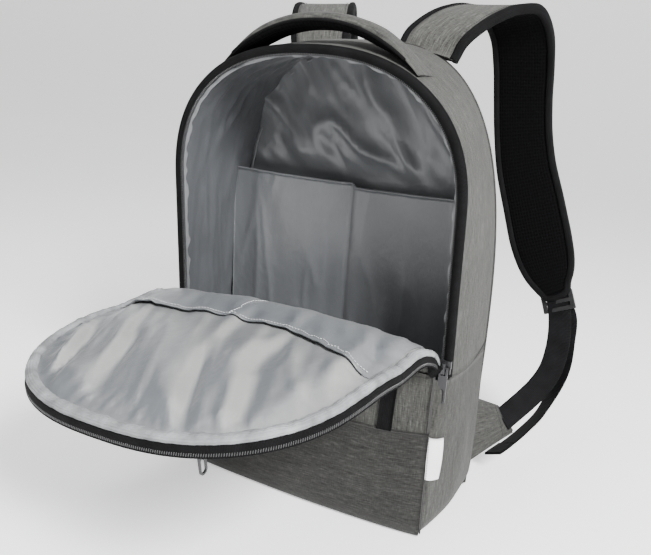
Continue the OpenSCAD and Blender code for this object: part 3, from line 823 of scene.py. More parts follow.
def front_pocket():
    xs = np.linspace(-FRONT_EDGE - 2 * MM, FRONT_EDGE + 2 * MM, 81)
    ts = np.linspace(0, 1, 37)
    x, t = np.meshgrid(xs, ts)
    grid = pocket_surface(x, t)
    waves = fbm(grid, (0.07, 0.05, 0.035), 3, 12)
    soft = np.sin(math.pi * np.clip((x / FRONT_EDGE + 1) / 2, 0, 1)) * np.clip(t * 4, 0, 1)
    pulls = creases(grid, (0.16, 0.05, 0.03), 21, 2.5)
    grid[..., 1] -= (waves * 2.0 * MM + pulls * 1.2 * MM) * soft
    # the pocket's darker heather is painted shade from the flap
    obj = shell_grid("front_pocket_cloth", grid, 2.0 * MM, M["heather_dark"], 1)
    place(stand(obj), "root", "heather_dark", "front_pocket")
    mouth = grid[-1] + np.array([0, 0.6 * MM, -0.2 * MM])
    place(tube("pocket_hem_roll", resample(mouth, 90), 1.7 * MM, M["heather_dark"], 8), "root", "heather_dark")
    line = grid[-5] + np.array([0, -0.35 * MM, 0])
    out = rows_of([0.0, -1.0, 0.1], len(line))
    place(stitches("pocket_hem_stitches", line[2:-2], out[2:-2], M["thread_dark"]), "root", "heather_dark")


def seam_line(name, path, r, mat, slot):
    return place(tube(name, resample(path, max(12, len(path) * 2)), r, mat, 6), "root", slot)


def front_seams():
    """Seams where the front panel meets the sides, and the side seam below the zip's ends."""
    for sign, word in SIDES:
        zs = np.linspace(6 * MM, 157 * MM, 30)
        path = np.stack([sign * (seam_x(zs) + 0.2 * MM), front_face(zs) - 0.5 * MM, zs], -1)
        seam_line(f"front_seam_{word}", path, 0.8 * MM, M["thread_dark"], "heather")
        ys = np.linspace(ZIP_Y + 2 * MM, BACK_Y - 4 * MM, 16)
        k = (ys - ys[0]) / (ys[-1] - ys[0])
        path = np.stack([sign * (BODY_HALF + 1.0 * MM + 1.6 * MM * np.sin(math.pi * k)), ys,
                         SEAM_Z + 3 * MM - 5 * MM * np.sin(math.pi * k) + 6 * MM * k], -1)
        seam_line(f"side_seam_{word}", path, 0.55 * MM, M["thread_dark"], "heather")


def front_bands():
    """Four upright webbing bands on the front panel, running down into the pocket."""
    for i, x in enumerate((-103, -44, 44, 103)):
        zs = np.linspace(60 * MM, 157 * MM, 26)
        ws = np.linspace(-7, 7, 5) * MM
        grid = np.empty((26, 5, 3))
        for k, z in enumerate(zs):
            grid[k] = np.stack([x * MM + ws, np.full(5, float(front_face(z)) - 4.6 * MM), np.full(5, z)], -1)
        obj = shell_grid(f"front_band_{i + 1}", grid, 1.6 * MM, M["webbing"], 1)
        place(obj, "root", "webbing", *(["front_bands"] if i == 0 else []))


def body_base():
    flat, faces = panel_mesh(rounded_box(BASE_HALF - 9 * MM, BACK_Y - 5 * MM, 24 * MM), 9 * MM)
    points = np.c_[flat, np.full(len(flat), 3.1 * MM)]
    obj = shell_panel("base_cloth", flat, faces, points, -3 * MM, M["heather_dark"], out=-1)
    return place(stand(obj), "root", "heather_dark", "bottom_panel")


def back_outline(d, bottom):
    a = np.linspace(0, math.pi, 41)
    ax, ay = arch_xy(BODY_HALF - d, REAR_RISE - d, REAR_EXP, a)
    low = [(-(BASE_HALF - d), bottom), (BASE_HALF - d, bottom)]
    zs = np.linspace(bottom, REAR_ARCH_Z, 7)[1:-1]
    right = [(float(lower_half(z)) - d, z) for z in zs]
    left = [(-(float(lower_half(z)) - d), z) for z in zs[::-1]]
    return np.array(low + right + list(zip(ax, REAR_ARCH_Z + ay)) + left)


def back_cloth():
    """Outer back panel, the two ribbed mesh pads and the yoke."""
    flat, faces = panel_mesh(back_outline(3 * MM, 5 * MM), 9 * MM)
    y = np.full(len(flat), BACK_Y)
    points = np.stack([flat[:, 0], y, flat[:, 1]], -1)
    points[:, 1] += 1.2 * MM * fbm(points, 0.09, 2, 31)
    obj = shell_panel("back_cloth", flat, faces, points, 2.5 * MM, M["heather"], out=-1)
    place(obj, "root", "heather", "back_panel")
    for sign, word in SIDES:
        lo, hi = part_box(f"back_pad_{word}")
        w, h = hi[0] - lo[0], hi[2] - lo[2]
        outline = rounded_box(w / 2, h / 2, 18 * MM)
        flat, faces = panel_mesh(outline, 5 * MM)
        edge = np.minimum(w / 2 - np.abs(flat[:, 0]), h / 2 - np.abs(flat[:, 1]))
        puff = 8.5 * MM * (1 - (1 - np.clip(edge / (16 * MM), 0, 1)) ** 2.2)
        for groove in (-h / 4, 0, h / 4):
            puff -= 4.5 * MM * np.exp(-((flat[:, 1] - groove - 0.12 * np.abs(flat[:, 0])) / (4 * MM)) ** 2)
        puff = np.clip(puff, 0.5 * MM, None)
        points = np.stack([flat[:, 0] + (lo[0] + hi[0]) / 2, BACK_Y + 1 * MM + puff,
                           flat[:, 1] + (lo[2] + hi[2]) / 2], -1)
        pad = shell_panel(f"back_pad_mesh_{word}", flat, faces, points, 2 * MM, M["air_mesh"], out=-1)
        place(pad, "root", "air_mesh", f"back_pad_{word}")
        ring = np.array(outline + outline[:1])
        path = np.stack([ring[:, 0] + (lo[0] + hi[0]) / 2, np.full(len(ring), BACK_Y + 1.6 * MM),
                         ring[:, 1] + (lo[2] + hi[2]) / 2], -1)
        place(tube(f"back_pad_edge_{word}", resample(path, 150), 1.8 * MM, M["tape"], 6), "root", "air_mesh")
    lo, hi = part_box("strap_yoke")
    xs, zs = np.linspace(lo[0], hi[0], 30), np.linspace(lo[2], hi[2], 8)
    x, z = np.meshgrid(xs, zs)
    grid = np.stack([x, np.full(x.shape, hi[1] + 0.3 * MM), z], -1)
    yoke = shell_grid("strap_yoke_cloth", grid, 1.8 * MM, M["heather_dark"], -1)
    place(yoke, "root", "heather_dark", "strap_yoke")
    out = rows_of([0.0, 1.0, 0.0], 30)
    for i in (1, 6):
        place(stitches(f"yoke_stitches_{i}", grid[i] + [0, 0.3 * MM, 0], out, M["thread_dark"]),
              "root", "heather_dark")


def rear_piping():
    ring = back_outline(1.5 * MM, 4 * MM)
    ring = np.concatenate([ring[1:], ring[:2]])
    path = np.stack([ring[:, 0], np.full(len(ring), BACK_Y - 1.5 * MM), ring[:, 1]], -1)
    obj = tube("rear_piping_cord", resample(path, 240), 2.6 * MM, M["heather_dark"], 10)
    return place(stand(obj), "root", "heather_dark", "rear_piping")


def seam_tag():
    """Blank woven tag sewn into the front right seam, lying back on the side."""
    lo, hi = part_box("seam_tag")
    zs = np.linspace(lo[2], hi[2], 14)
    w = np.linspace(0, 1, 12)
    grid = np.empty((14, 12, 3))
    for i, z in enumerate(zs):
        h, y = float(lower_half(z)), float(front_face(z))
        edge = float(seam_x(z))
        a = np.array([edge + 0.6 * MM, y - 1.6 * MM])
        b = np.array([h - 0.5 * MM, y - 0.5 * MM])
        c = np.array([h + 3.0 * MM, y + 12 * MM])
        q = (1 - w)[:, None] ** 2 * a + 2 * (w * (1 - w))[:, None] * b + w[:, None] ** 2 * c
        lift = 1.2 * MM * math.sin(i / 13 * math.pi) * w
        grid[i] = np.stack([q[:, 0] + lift, q[:, 1] - lift * 0.5, np.full(12, z) - 3.0 * MM * w], -1)
    obj = shell_grid("seam_tag_cloth", grid, 0.6 * MM, M["tag"], -1)
    place(obj, "root", "tag", "seam_tag")
    out = grid_normals(grid)[:, 1]
    out = -out if out[7, 0] < 0 else out
    place(stitches("seam_tag_stitches", grid[:, 1] + out * 0.4 * MM, out, M["thread_dark"], 2.6 * MM, 1.8 * MM,
                   0.25 * MM), "root", "tag")


# ------------------------------------------------------------------ zip on the body
def zip_line(d, out, count=121, bottom=0.0):
    """Line round the opening, d inside the outline, from the right end over the arch to the left."""
    a = np.linspace(0, math.pi, count)
    ax, ay = arch_xy(BODY_HALF - d, ARCH_RISE - d, FRONT_EXP, a)
    return zip_point(*round_line(d, np.linspace(bottom, ARCH_S, count // 3)[:-1], ax, ay), out)


def body_zip():
    lines = [(0.2, -3.0), (-0.6, -0.5), (0.4, 1.6), (2.0, 2.3), (3.8, 2.0), (5.4, 1.3), (7.0, 0.3)]
    grid = np.array([zip_line(d * MM, o * MM, bottom=-3 * MM) for d, o in lines])
    grid = np.transpose(grid, (1, 0, 2))
    obj = shell_grid("zip_band_body", grid, 1.2 * MM, M["tape"], -1)
    place(obj, "root", "zip_tape", "body_zip_tape")
    path = zip_line(6.4 * MM, 1.6 * MM, bottom=2 * MM)
    out = rows_of([0.0, -math.cos(LEAN), -math.sin(LEAN)], len(path))
    coil = teeth("zip_teeth_body", path, out, M["coil"])
    place(coil, "root", "zip_coil", "body_zip_coil")
    # groove line between the band and the teeth
    line = zip_line(4.2 * MM, 2.3 * MM, bottom=2 * MM)
    place(stitches("zip_band_stitches", line, out, M["thread_dark"], *FINE_STITCH), "root", "zip_tape")


# ------------------------------------------------------------------ inside
def lining_walls():
    """Lining of the side and top walls, loose between the zip and the back."""
    f, r = wall_lines(91, 6.5 * MM, BACK_Y - 6 * MM, bottom=14 * MM)
    # below the hinge the wall follows the front panel
    f[f[:, 2] < HINGE_Z, 1] = ZIP_Y
    follow_base(f, 7 * MM)
    follow_base(r, 7 * MM)
    w = np.linspace(0, 1, 41)
    grid = f[:, None] + (r - f)[:, None] * w[None, :, None]
    n = grid_normals(grid)
    if n[45, 20, 2] > 0:
        n = -n
    tight = np.sin(math.pi * np.clip(w, 0, 1))[None] ** 0.7
    slow = fbm(grid, (0.045, 0.03, 0.10), 3, 41)
    lines = creases(grid, (0.05, 0.022, 0.12), 43, 3)
    small = creases(grid, (0.02, 0.012, 0.035), 47, 3)
    push = (slow * 3.2 + lines * 2.6 + small * 0.8 + 1.0) * MM
    grid = grid + n * (push * tight)[..., None]
    obj = shell_grid("lining_walls", grid, 0.6 * MM, M["wall_lining"], 1, swap=True)
    if obj.data.polygons[45 * 40 + 20].normal[2] > 0:
        obj.data.flip_normals()
    place(obj, "root", "lining", "body_lining")


def lining_back():
    flat, faces = panel_mesh(back_outline(7 * MM, 8 * MM), 5 * MM)
    points = np.stack([flat[:, 0], np.full(len(flat), BACK_Y - 5.8 * MM), flat[:, 1]], -1)
    high = smooth((flat[:, 1] - SLEEVE_Z) / (30 * MM))
    edge = np.clip((BODY_HALF - 10 * MM - np.abs(flat[:, 0])) / (25 * MM), 0, 1)
    turn = math.radians(-48)
    q = np.c_[flat[:, 0] * math.cos(turn) + flat[:, 1] * math.sin(turn), 0 * flat[:, 0],
              -flat[:, 0] * math.sin(turn) + flat[:, 1] * math.cos(turn)]
    loose = creases(q, (0.14, 0.05, 0.045), 61, 1.6) * 9 + creases(q, (0.08, 0.05, 0.024), 63, 2.2) * 3
    slow = fbm(q, (0.12, 0.06, 0.05), 2, 65) * 5 + 4
    points[:, 1] -= (loose + slow) * MM * high * edge
    obj = shell_panel("lining_back", flat, faces, points, 0.6 * MM, M["lining"], out=1)
    place(obj, "root", "lining")


def laptop_sleeve():
    """Sleeve on the back panel: bound hem at its mouth and an upright seam in the middle."""
    half = 142 * MM
    xs = np.linspace(-half, half, 121)
    ts = np.linspace(0, 1, 81)
    x, t = np.meshgrid(xs, ts)
    mouth = SLEEVE_Z + 2 * MM - 3 * MM * np.sin(math.pi * (x / half + 1) / 2) - 4 * MM * smooth(x / (6 * MM))
    z = 8 * MM + (mouth - 8 * MM) * t
    slack = np.sin(math.pi * (np.abs(x) / half)) ** 2 * 2.0 * MM + 8 * MM * np.abs(x) / half
    y = SLEEVE_Y - slack * t
    narrow = np.minimum(1.0, (lower_half(z) - 8.5 * MM) / half)
    grid = np.stack([x * narrow, y, z], -1)
    slow = fbm(grid, (0.055, 0.05, 0.13), 2, 71)
    lines = creases(grid, (0.035, 0.05, 0.16), 73, 3)
    hold = np.clip((half - np.abs(x)) / (20 * MM), 0, 1) * np.clip(np.abs(x) / (10 * MM), 0, 1)
    grid[..., 1] -= ((slow + 0.5) * 3.0 + lines * 1.4) * MM * hold
    grid[..., 1] += 1.2 * MM * np.exp(-(x / (2.2 * MM)) ** 2)
    obj = shell_grid("laptop_sleeve_cloth", grid, 0.8 * MM, M["lining"], 1, swap=True)
    place(obj, "root", "lining", "laptop_sleeve")
    edge = grid[-1] + np.array([0, -0.3 * MM, 0])
    place(tube("sleeve_hem_roll", resample(edge[1:-1], 130), 1.3 * MM, M["lining"], 8), "root", "lining")
    out = rows_of([0.0, -1.0, 0.0], 121)
    place(stitches("sleeve_hem_stitches", grid[-5] + [0, -0.2 * MM, 0], out, M["thread"], *FINE_STITCH), "root", "lining")
    seam = grid[:, 60] + np.array([0, -0.3 * MM, 0])
    place(stitches("sleeve_seam_stitches", seam, out[:81], M["thread"], *FINE_STITCH),
          "root", "lining")


def floor_lining():
    lo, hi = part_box("floor_lining")
    xs, ys = np.linspace(lo[0], hi[0], 60), np.linspace(lo[1], hi[1], 26)
    x, y = np.meshgrid(xs, ys)
    z = np.full(x.shape, hi[2]) + 0.8 * MM
    grid = np.stack([x, y, z], -1)
    grid[..., 2] += creases(grid, 0.05, 81, 2) * 1.5 * MM
    obj = shell_grid("floor_lining_cloth", grid, 0.8 * MM, M["lining"], -1)
    place(obj, "root", "lining", "floor_lining")
    # lining behind the front panel
    zs = np.linspace(10 * MM, 158 * MM, 30)
    xs = np.linspace(-130 * MM, 130 * MM, 60)
    x, z = np.meshgrid(xs, zs)
    y = front_face(z) + 5 * MM
    grid = np.stack([x, y, z], -1)
    grid[..., 1] += creases(grid, (0.06, 0.05, 0.05), 83, 2) * 2 * MM
    obj = shell_grid("front_lining_cloth", grid, 0.6 * MM, M["lining"], -1, swap=True)
    place(obj, "root", "lining")


def inner_bindings():
    """Bound seam allowances where the lining walls meet the back, and the lining's raw edge at the zip."""
    _, r = wall_lines(61, 9 * MM, BACK_Y - 9 * MM, bottom=20 * MM)
    follow_base(r, 9.5 * MM)
    path = resample(r, 260)
    wobble = fbm(path, 0.03, 2, 91)[:, None] * np.array([1.0, 0.8, 0.6]) * 0.9 * MM
    ways = rows_of([0.0, 1.0, 0.0], len(path))
    inward = np.array([0, 0, 240 * MM]) - path
    inward[:, 1] = 0
    inward = unit(inward)
    ways = inward * 0.75 - ways * 0.65
    obj = sweep("inner_binding", path + wobble, round_section(8 * MM, 2.2 * MM), M["lining"], ways)
    place(obj, "root", "lining")
    # crinkled lining edge beside the zip, in a lighter copy of the lining satin: a painted highlight where it
    # catches the light
    a = zip_line(7.6 * MM, -1.5 * MM, 241, bottom=6 * MM)
    b = zip_line(9.4 * MM, -3.0 * MM, 241, bottom=6 * MM)
    ruffle = fbm(a, 0.012, 2, 93)[:, None]
    mid = (a + b) / 2 + np.array([0, -1.0 * MM, 0]) + ruffle * np.array([1.2, 1.0, 1.2]) * MM
    edge = b + ruffle * np.array([2.0, 1.5, 2.0]) * MM
    grid = np.stack([a, mid, edge], 1)
    obj = shell_grid("lining_edge", grid, 0.5 * MM, M["lining_edge"], -1)
    place(obj, "root", "lining")


# ------------------------------------------------------------------ flap
CORNERS = [(HINGE_AT, 0.0, 16 * MM), (FOLD_1_AT, FOLD_1, 26 * MM), (FOLD_2_AT, FOLD_2, 34 * MM)]


def leg_point(k, s):
    """Point at distance s on leg k: 0 below the hinge, then base, middle and tip."""
    starts = [0.0, 0.0, FOLD_1, FOLD_2]
    bases = [HINGE_AT, HINGE_AT, FOLD_1_AT, FOLD_2_AT]
    slope = math.radians(SLOPES[k])
    way = np.array([0.0, -math.cos(slope), math.sin(slope)])
    return bases[k][None] + (np.asarray(s) - starts[k])[:, None] * way[None]


def flap_line(s):
    """The flap's middle line at rest, rounded at its three folds."""
    s = np.asarray(s, float)
    out = leg_point(3, s)
    for k in (2, 1, 0):
        limit = CORNERS[k][1]
        out = np.where((s < limit)[:, None], leg_point(k, s), out)
    for k, (at, mid, reach) in enumerate(CORNERS):
        t = (s - (mid - reach)) / (2 * reach)
        inside = (t > 0) & (t < 1)
        a = leg_point(k, np.array([mid - reach]))[0]
        b = leg_point(k + 1, np.array([mid + reach]))[0]
        tt = t[:, None]
        curve = (1 - tt) ** 2 * a + 2 * tt * (1 - tt) * at + tt ** 2 * b
        out = np.where(inside[:, None], curve, out)
    return out


def flap_sag(x, s):
    """How far the open flap's cloth lies above its folded plane: rolled at the hinge, drooping at its end."""
    arch = -4.0 * MM * (x / BODY_HALF) ** 2 * smooth(s / (60 * MM))
    roll = FLAP_ROLL * smooth(s / (22 * MM)) * (1 - smooth((s - 45 * MM) / (60 * MM)))
    droop = 3 * MM * np.clip((s - 205 * MM) / (60 * MM), 0, 2) ** 2
    return arch + roll + FLAP_TWIST * smooth(s / (200 * MM)) * x / BODY_HALF - droop


def flap_map(x, s, out):
    """Row-frame point of the open flap from its flat place: x across, s from the hinge, out outward."""
    x, s, out = (np.asarray(v, float) for v in np.broadcast_arrays(x, s, out))
    shape = x.shape
    x, s, out = x.ravel(), s.ravel(), out.ravel()
    h = 0.5 * MM
    p = flap_line(s)
    t = flap_line(s + h) - flap_line(s - h)
    t = unit(t)
    n = np.stack([np.zeros(len(s)), -t[:, 2], t[:, 1]], -1)
    q = p + n * (out - HINGE_OUT)[:, None]
    q[:, 0] = x + FLAP_LEAN * smooth(s / (200 * MM))
    q[:, 2] += flap_sag(x, s)
    return q.reshape(shape + (3,))


def flap_arch(d, count):
    """The flap's round end at inset d, from right to left: rounder at its right corner."""
    a = np.linspace(0, math.pi, count)
    right = arch_xy(BODY_HALF - d, ARCH_RISE - d, FLAP_EXP_RIGHT, a)
    left = arch_xy(BODY_HALF - d, ARCH_RISE - d, FLAP_EXP_LEFT, a)
    return [np.where(a < math.pi / 2, r, q) for r, q in zip(right, left)]


def flap_outline(d, s0):
    ax, ay = flap_arch(d, 61)
    return np.array([(-(BODY_HALF - d), s0), (BODY_HALF - d, s0)] + list(zip(ax, ARCH_S + ay)))


CUT_1 = FOLD_1 / 2 + 2 * MM
CUT_2 = (FOLD_1 + FOLD_2) / 2


def blend_flap(obj, k):
    """Bake a piece's transform into its mesh; the direction across the flap's joint k is worked out but not used.
    """
    before = math.radians(SLOPES[k])
    after = math.radians(SLOPES[k + 1])
    way = np.array([0.0, -math.cos(before) - math.cos(after), math.sin(before) + math.sin(after)])
    way /= np.linalg.norm(way)
    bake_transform(obj)


def on_flap(obj, zone, nodes=()):
    """Bake a piece's transform, and stand for those of nodes that belong to the zone."""
    blend_flap(obj, zone)
    own = [n for n in nodes if ("base" in n) == (zone == 0) and ("tip" in n) == (zone == 2)]
    if own:
        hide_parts(*own)


def flap_parts(name, flat, faces, points, thick, mat, nodes, out=1):
    """Split a lifted flap sheet at its two cut lines, and bake each part's transform."""
    for k, (lo, hi) in enumerate(((-1.0, CUT_1), (CUT_1, CUT_2), (CUT_2, 9.0))):
        keep = (lambda mid, lo=lo, hi=hi: (mid[:, 1] > lo) & (mid[:, 1] < hi))
        if keep(flat[np.array(faces)].mean(1)).any():
            obj = shell_panel(f"{name}_{k + 1}", flat, faces, points, thick, mat, keep, out=out)
            on_flap(obj, k, nodes)


def flap_folds(flat):
    """Slack of the flap's lining, away from the shell: a roll at the hinge, then long slanting folds."""
    x, s = flat[:, 0], flat[:, 1]
    turn = math.radians(64)
    q = np.c_[x * math.cos(turn) + s * math.sin(turn), -x * math.sin(turn) + s * math.cos(turn), 0 * x]
    drift = fbm(q, (0.20, 0.10, 1), 2, 101)
    phase = 2 * math.pi * (q[:, 1] / (54 * MM) + 1.1 * drift)
    wave = np.sin(phase + 0.5 * np.sin(phase))
    life = np.clip(0.75 + 1.3 * fbm(q, (0.16, 0.05, 1), 2, 103), 0.15, 1.3)
    second = creases(q, (0.20, 0.026, 1), 105, 1.8)
    fine = creases(q, (0.06, 0.014, 1), 107, 2.5)
    rim_x = front_half(15 * MM, np.clip(s, 0, ZIP_LEN - 16 * MM)) - np.abs(x)
    rim = np.clip(np.minimum(rim_x, (ZIP_LEN - 17 * MM) - s) / (30 * MM), 0, 1)
    around = np.arctan2(s - 130 * MM, x)
    pleat = creases(np.c_[around * 0.12, 0 * x, 0 * x], 0.009, 109, 1.5) * smooth(rim * 3) * (1 - smooth(rim))
    loose = smooth(rim) * (0.25 + 0.75 * smooth((s - 45 * MM) / (70 * MM)))
    roll = 7.0 * (1 - (x / BODY_HALF) ** 2) * smooth(s / (25 * MM)) * (1 - smooth((s - 40 * MM) / (90 * MM)))
    return ((wave * life * 5.0 + second * 2.4 + fine * 0.6 + 6.0) * loose + pleat * 2.6 + roll) * MM


def flap_lining():
    flat, faces = panel_mesh(flap_outline(FLAP_INSET + 2 * MM, -12 * MM), 4.2 * MM, (CUT_1, CUT_2))
    points = flap_map(flat[:, 0], flat[:, 1], -1.2 * MM - flap_folds(flat))
    flap_parts("flap_lining", flat, faces, points, 0.7 * MM, M["flap_lining"],
               ["flap_base_lining", "flap_mid_lining", "flap_tip_lining"], out=-1)


def flap_shell():
    flat, faces = panel_mesh(flap_outline(SHELL_D - 2 * MM, -4 * MM), 6 * MM, (CUT_1, CUT_2))
    edge = np.clip((front_half(SHELL_D - 2 * MM, np.clip(flat[:, 1], 0, ZIP_LEN)) - np.abs(flat[:, 0]))
                   / (10 * MM), 0, 1)
    tip = np.clip((ZIP_LEN - SHELL_D - flat[:, 1]) / (10 * MM), 0, 1)
    pad = (FLAP_T - 1 * MM) * np.sqrt(np.clip(np.minimum(edge, tip), 0, 1)) + 0.6 * MM
    wave = fbm(np.c_[flat, np.zeros(len(flat))], 0.07, 2, 111) * 0.5 * MM
    points = flap_map(flat[:, 0], flat[:, 1], pad + wave)
    # flat behind the leaves, whatever the lining does
    rim = front_half(SHELL_D, np.clip(flat[:, 1], 0, ZIP_LEN - SHELL_D)) - np.abs(flat[:, 0])
    centre = smooth((rim - 8 * MM) / (20 * MM)) * smooth(flat[:, 1] / (30 * MM))
    centre = centre * (1 - smooth((flat[:, 1] - 222 * MM) / (20 * MM)))
    points[:, 2] -= flap_sag(flat[:, 0], flat[:, 1]) * centre
    points[:, 0] -= FLAP_LEAN * smooth(flat[:, 1] / (200 * MM)) * centre
    flap_parts("flap_shell", flat, faces, points, 1.2 * MM, M["heather"],
               ["flap_base_shell", "flap_mid_shell", "flap_tip_shell"], out=1)


def flap_edge_line(d, s0, count=181):
    """Flat line round the flap at inset d, from the right end over the tip to the left."""
    ax, ay = flap_arch(d, count)
    return np.stack(round_line(d, np.linspace(s0, ARCH_S, 60)[:-1], ax, ay), -1)


def split_runs(s):
    """Index runs of a round-the-flap line in the three flap zones: (zone, first, last)."""
    zone = np.where(s < CUT_1, 0, np.where(s < CUT_2, 1, 2))
    runs, start = [], 0
    for i in range(1, len(s) + 1):
        if i == len(s) or zone[i] != zone[start]:
            runs.append((int(zone[start]), start, i))
            start = i
    return runs


def end_name(x):
    return "r" if x.mean() > 5 * MM else ("l" if x.mean() < -5 * MM else "m")


def flap_strip(name, lines, thick, mat, nodes=(), s0=6 * MM, outward=1, jitter=None):
    """A strip round the flap's edge. lines are (inset, outward) pairs across the strip."""
    rows = []
    for d, o in lines:
        flat = flap_edge_line(d * MM, s0)
        off = o * MM
        if jitter is not None:
            off = off + jitter(flat, d)
        rows.append(np.concatenate([flat, np.broadcast_to(off, (len(flat),))[:, None]], 1))
    rows = np.array(rows)
    base = rows[0][:, 1]
    for zone, a, b in split_runs(base):
        b = min(b + 1, len(base))
        part = rows[:, a:b]
        grid = flap_map(part[..., 0], part[..., 1], part[..., 2])
        grid = np.transpose(grid, (1, 0, 2))
        obj = shell_grid(f"{name}_{zone + 1}{end_name(part[0, :, 0])}", grid, thick, mat, outward)
        on_flap(obj, zone, nodes)


def flap_edge():
    """Bound lining edge, hanging zip tape and its coil."""
    def crinkle(flat, d):
        p = np.c_[flat, np.zeros(len(flat))]
        return fbm(p, 0.006, 2, 121) * 1.3 * MM * (1 if d > 10 else 0.35)

    flap_strip("flap_binding", [(10.0, 1.4), (8.4, 0.6), (7.8, -0.8), (8.4, -2.4), (10.4, -3.5), (12.8, -3.5),
                                (14.6, -2.5), (15.4, -0.9)], 0.8 * MM, M["binding"], outward=1,
               jitter=crinkle)
    flap_strip("flap_zip_tape", [(12.0, 0.5), (9.4, 1.0), (8.2, 2.5), (7.3, 5.0), (6.8, 7.5), (6.4, 10.0)],
               1.0 * MM, M["tape"], ("flap_base_zip", "flap_mid_zip", "flap_tip_zip"),
               outward=-1, s0=16 * MM)
    flat = flap_edge_line(6.3 * MM, 17 * MM, 361)
    pos = flap_map(flat[:, 0], flat[:, 1], np.full(len(flat), 7.8 * MM))
    middle = flap_map(flat[:, 0] * 0.9, flat[:, 1] - 6 * MM * smooth((flat[:, 1] - ARCH_S) / (60 * MM)),
                      np.full(len(flat), 7.8 * MM))
    out = pos - middle
    out = unit(out)
    for zone, a, b in split_runs(flat[:, 1]):
        b = min(b + 1, len(flat))
        obj = teeth(f"flap_zip_teeth_{zone + 1}{end_name(flat[a:b, 0])}", pos[a:b], out[a:b], M["coil"])
        on_flap(obj, zone)


POCKET_SEAM = -22 * MM


def pocket_line(x, half):
    """Distance of the slip pocket's mouth from the hinge: it runs away from the hinge at its right end."""
    k = x / half
    return (98 + 12 * smooth(-k - 0.1) + 32 * smooth((k - 0.25) / 0.75)) * MM


def slip_pocket():
    """Pocket on the flap's lining side: mouth away from the hinge, split by a seam left of its middle."""
    half = BODY_HALF - 17 * MM
    outline = [(-half, 4 * MM), (half, 4 * MM)]
    xs = np.linspace(half, -half, 49)
    outline += list(zip(xs, pocket_line(xs, half)))
    flat, faces = panel_mesh(outline, 4.5 * MM, (CUT_1, CUT_2))
    x, s = flat[:, 0], flat[:, 1]
    lift = flap_folds(flat)
    open_up = smooth((s - 60 * MM) / (60 * MM)) * np.abs(np.sin(math.pi * (x - POCKET_SEAM) / half))
    q = np.c_[x, s, np.zeros(len(x))]
    own = creases(q, (0.12, 0.05, 1), 131, 1.6) * 1.0 + fbm(q, (0.12, 0.07, 1), 1, 133) * 0.8
    hold = np.clip((half - np.abs(x)) / (14 * MM), 0, 1) * np.clip(np.abs(x - POCKET_SEAM) / (9 * MM), 0.15, 1)
    points = flap_map(x, s, -2.2 * MM - lift - (open_up * 1.6 + own + 0.8) * MM * hold)
    flap_parts("slip_pocket", flat, faces, points, 0.7 * MM, M["pocket_lining"], [], out=-1)
    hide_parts("flap_slip_pocket")
    # hem and middle seam
    order = np.array(outline[3:-1])

    def lifted(a, extra):
        near = np.array([np.argmin(((flat - q) ** 2).sum(1)) for q in a])
        return points[near] + np.array([0.0, 0.0, 1.0]) * extra

    up = rows_of([0.0, 0.0, 1.0], len(order))
    hem = tube("slip_pocket_hem", resample(lifted(order, 0.4 * MM), 150), 0.7 * MM, M["flap_lining"], 6)
    on_flap(hem, 2)
    row = lifted(order - [0, 6 * MM], 0.4 * MM)
    thread = stitches("slip_pocket_hem_stitches", row, up, M["thread_light"], *FINE_STITCH)
    on_flap(thread, 2)
    seam_end = pocket_line(POCKET_SEAM, half)
    for k, (lo, hi) in enumerate(((8 * MM, CUT_1), (CUT_1, CUT_2), (CUT_2, seam_end))):
        ss = np.linspace(lo, hi, 12)
        path = lifted(np.stack([np.full(12, POCKET_SEAM), ss], -1), 0.6 * MM)
        obj = stitches(f"slip_pocket_seam_{k + 1}", path, up[:12], M["thread_light"], 3 * MM, 2.2 * MM, 0.35 * MM)
        on_flap(obj, k)


def flap_outer():
    """Outer zip across the flap's tip, with its coil."""
    lo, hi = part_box("outer_zip")
    outer_s = 232 * MM
    half = (hi[0] - lo[0]) / 2
    xs = np.linspace(-half, half, 60)
    ws = np.linspace(-8, 8, 7)
    x, w = np.meshgrid(xs, ws * MM, indexing="ij")
    crown = 1.0 * MM * np.cos(np.clip(w / (8 * MM), -1, 1) * math.pi / 2)
    grid = flap_map(x, outer_s + w, FLAP_T + 0.5 * MM + crown)
    obj = shell_grid("outer_zip_tape", grid, 1.0 * MM, M["tape"], -1)
    place(obj, "flap_tip", "zip_tape", "outer_zip")
    pos = flap_map(xs, np.full(60, outer_s), np.full(60, FLAP_T + 1.8 * MM))
    n = flap_map(xs, np.full(60, outer_s), np.full(60, FLAP_T + 3 * MM)) - pos
    place(teeth("outer_zip_teeth", pos, n, M["coil"]), "flap_tip", "zip_coil")
    for word in ("lower", "upper"):
        for kind, mat in (("leaf", "leaf"), ("cells", "cell")):
            dress(frame["nodes"][f"solar_{kind}_{word}"], M[mat])


def hinge_corners():
    """Black tape ends where the flap's edge turns into the body's zip."""
    for sign, word in SIDES:
        start = zip_point(BODY_HALF - 4 * MM, 6 * MM, 2 * MM)
        x_end = BODY_HALF - 11 * MM
        a = np.array([start, start + [-1 * MM, -9 * MM, 2 * MM],
                      flap_map(x_end, 20 * MM, -1 * MM), flap_map(x_end, 34 * MM, -1 * MM)])
        b = np.array([zip_point(BODY_HALF - 10 * MM, -3 * MM, 3 * MM),
                      zip_point(BODY_HALF - 14 * MM, -2 * MM, 12 * MM),
                      flap_map(x_end - 5 * MM, 18 * MM, 5 * MM), flap_map(x_end - 1 * MM, 34 * MM, 5 * MM)])
        pa, pb = resample(a, 20), resample(b, 20)
        w = np.linspace(0, 1, 7)[None, :, None]
        grid = pa[:, None] * (1 - w) + pb[:, None] * w
        grid[..., 0] *= sign
        obj = shell_grid(f"hinge_tape_{word}", grid, 1.0 * MM, M["tape"], -sign)
        on_flap(obj, 0)


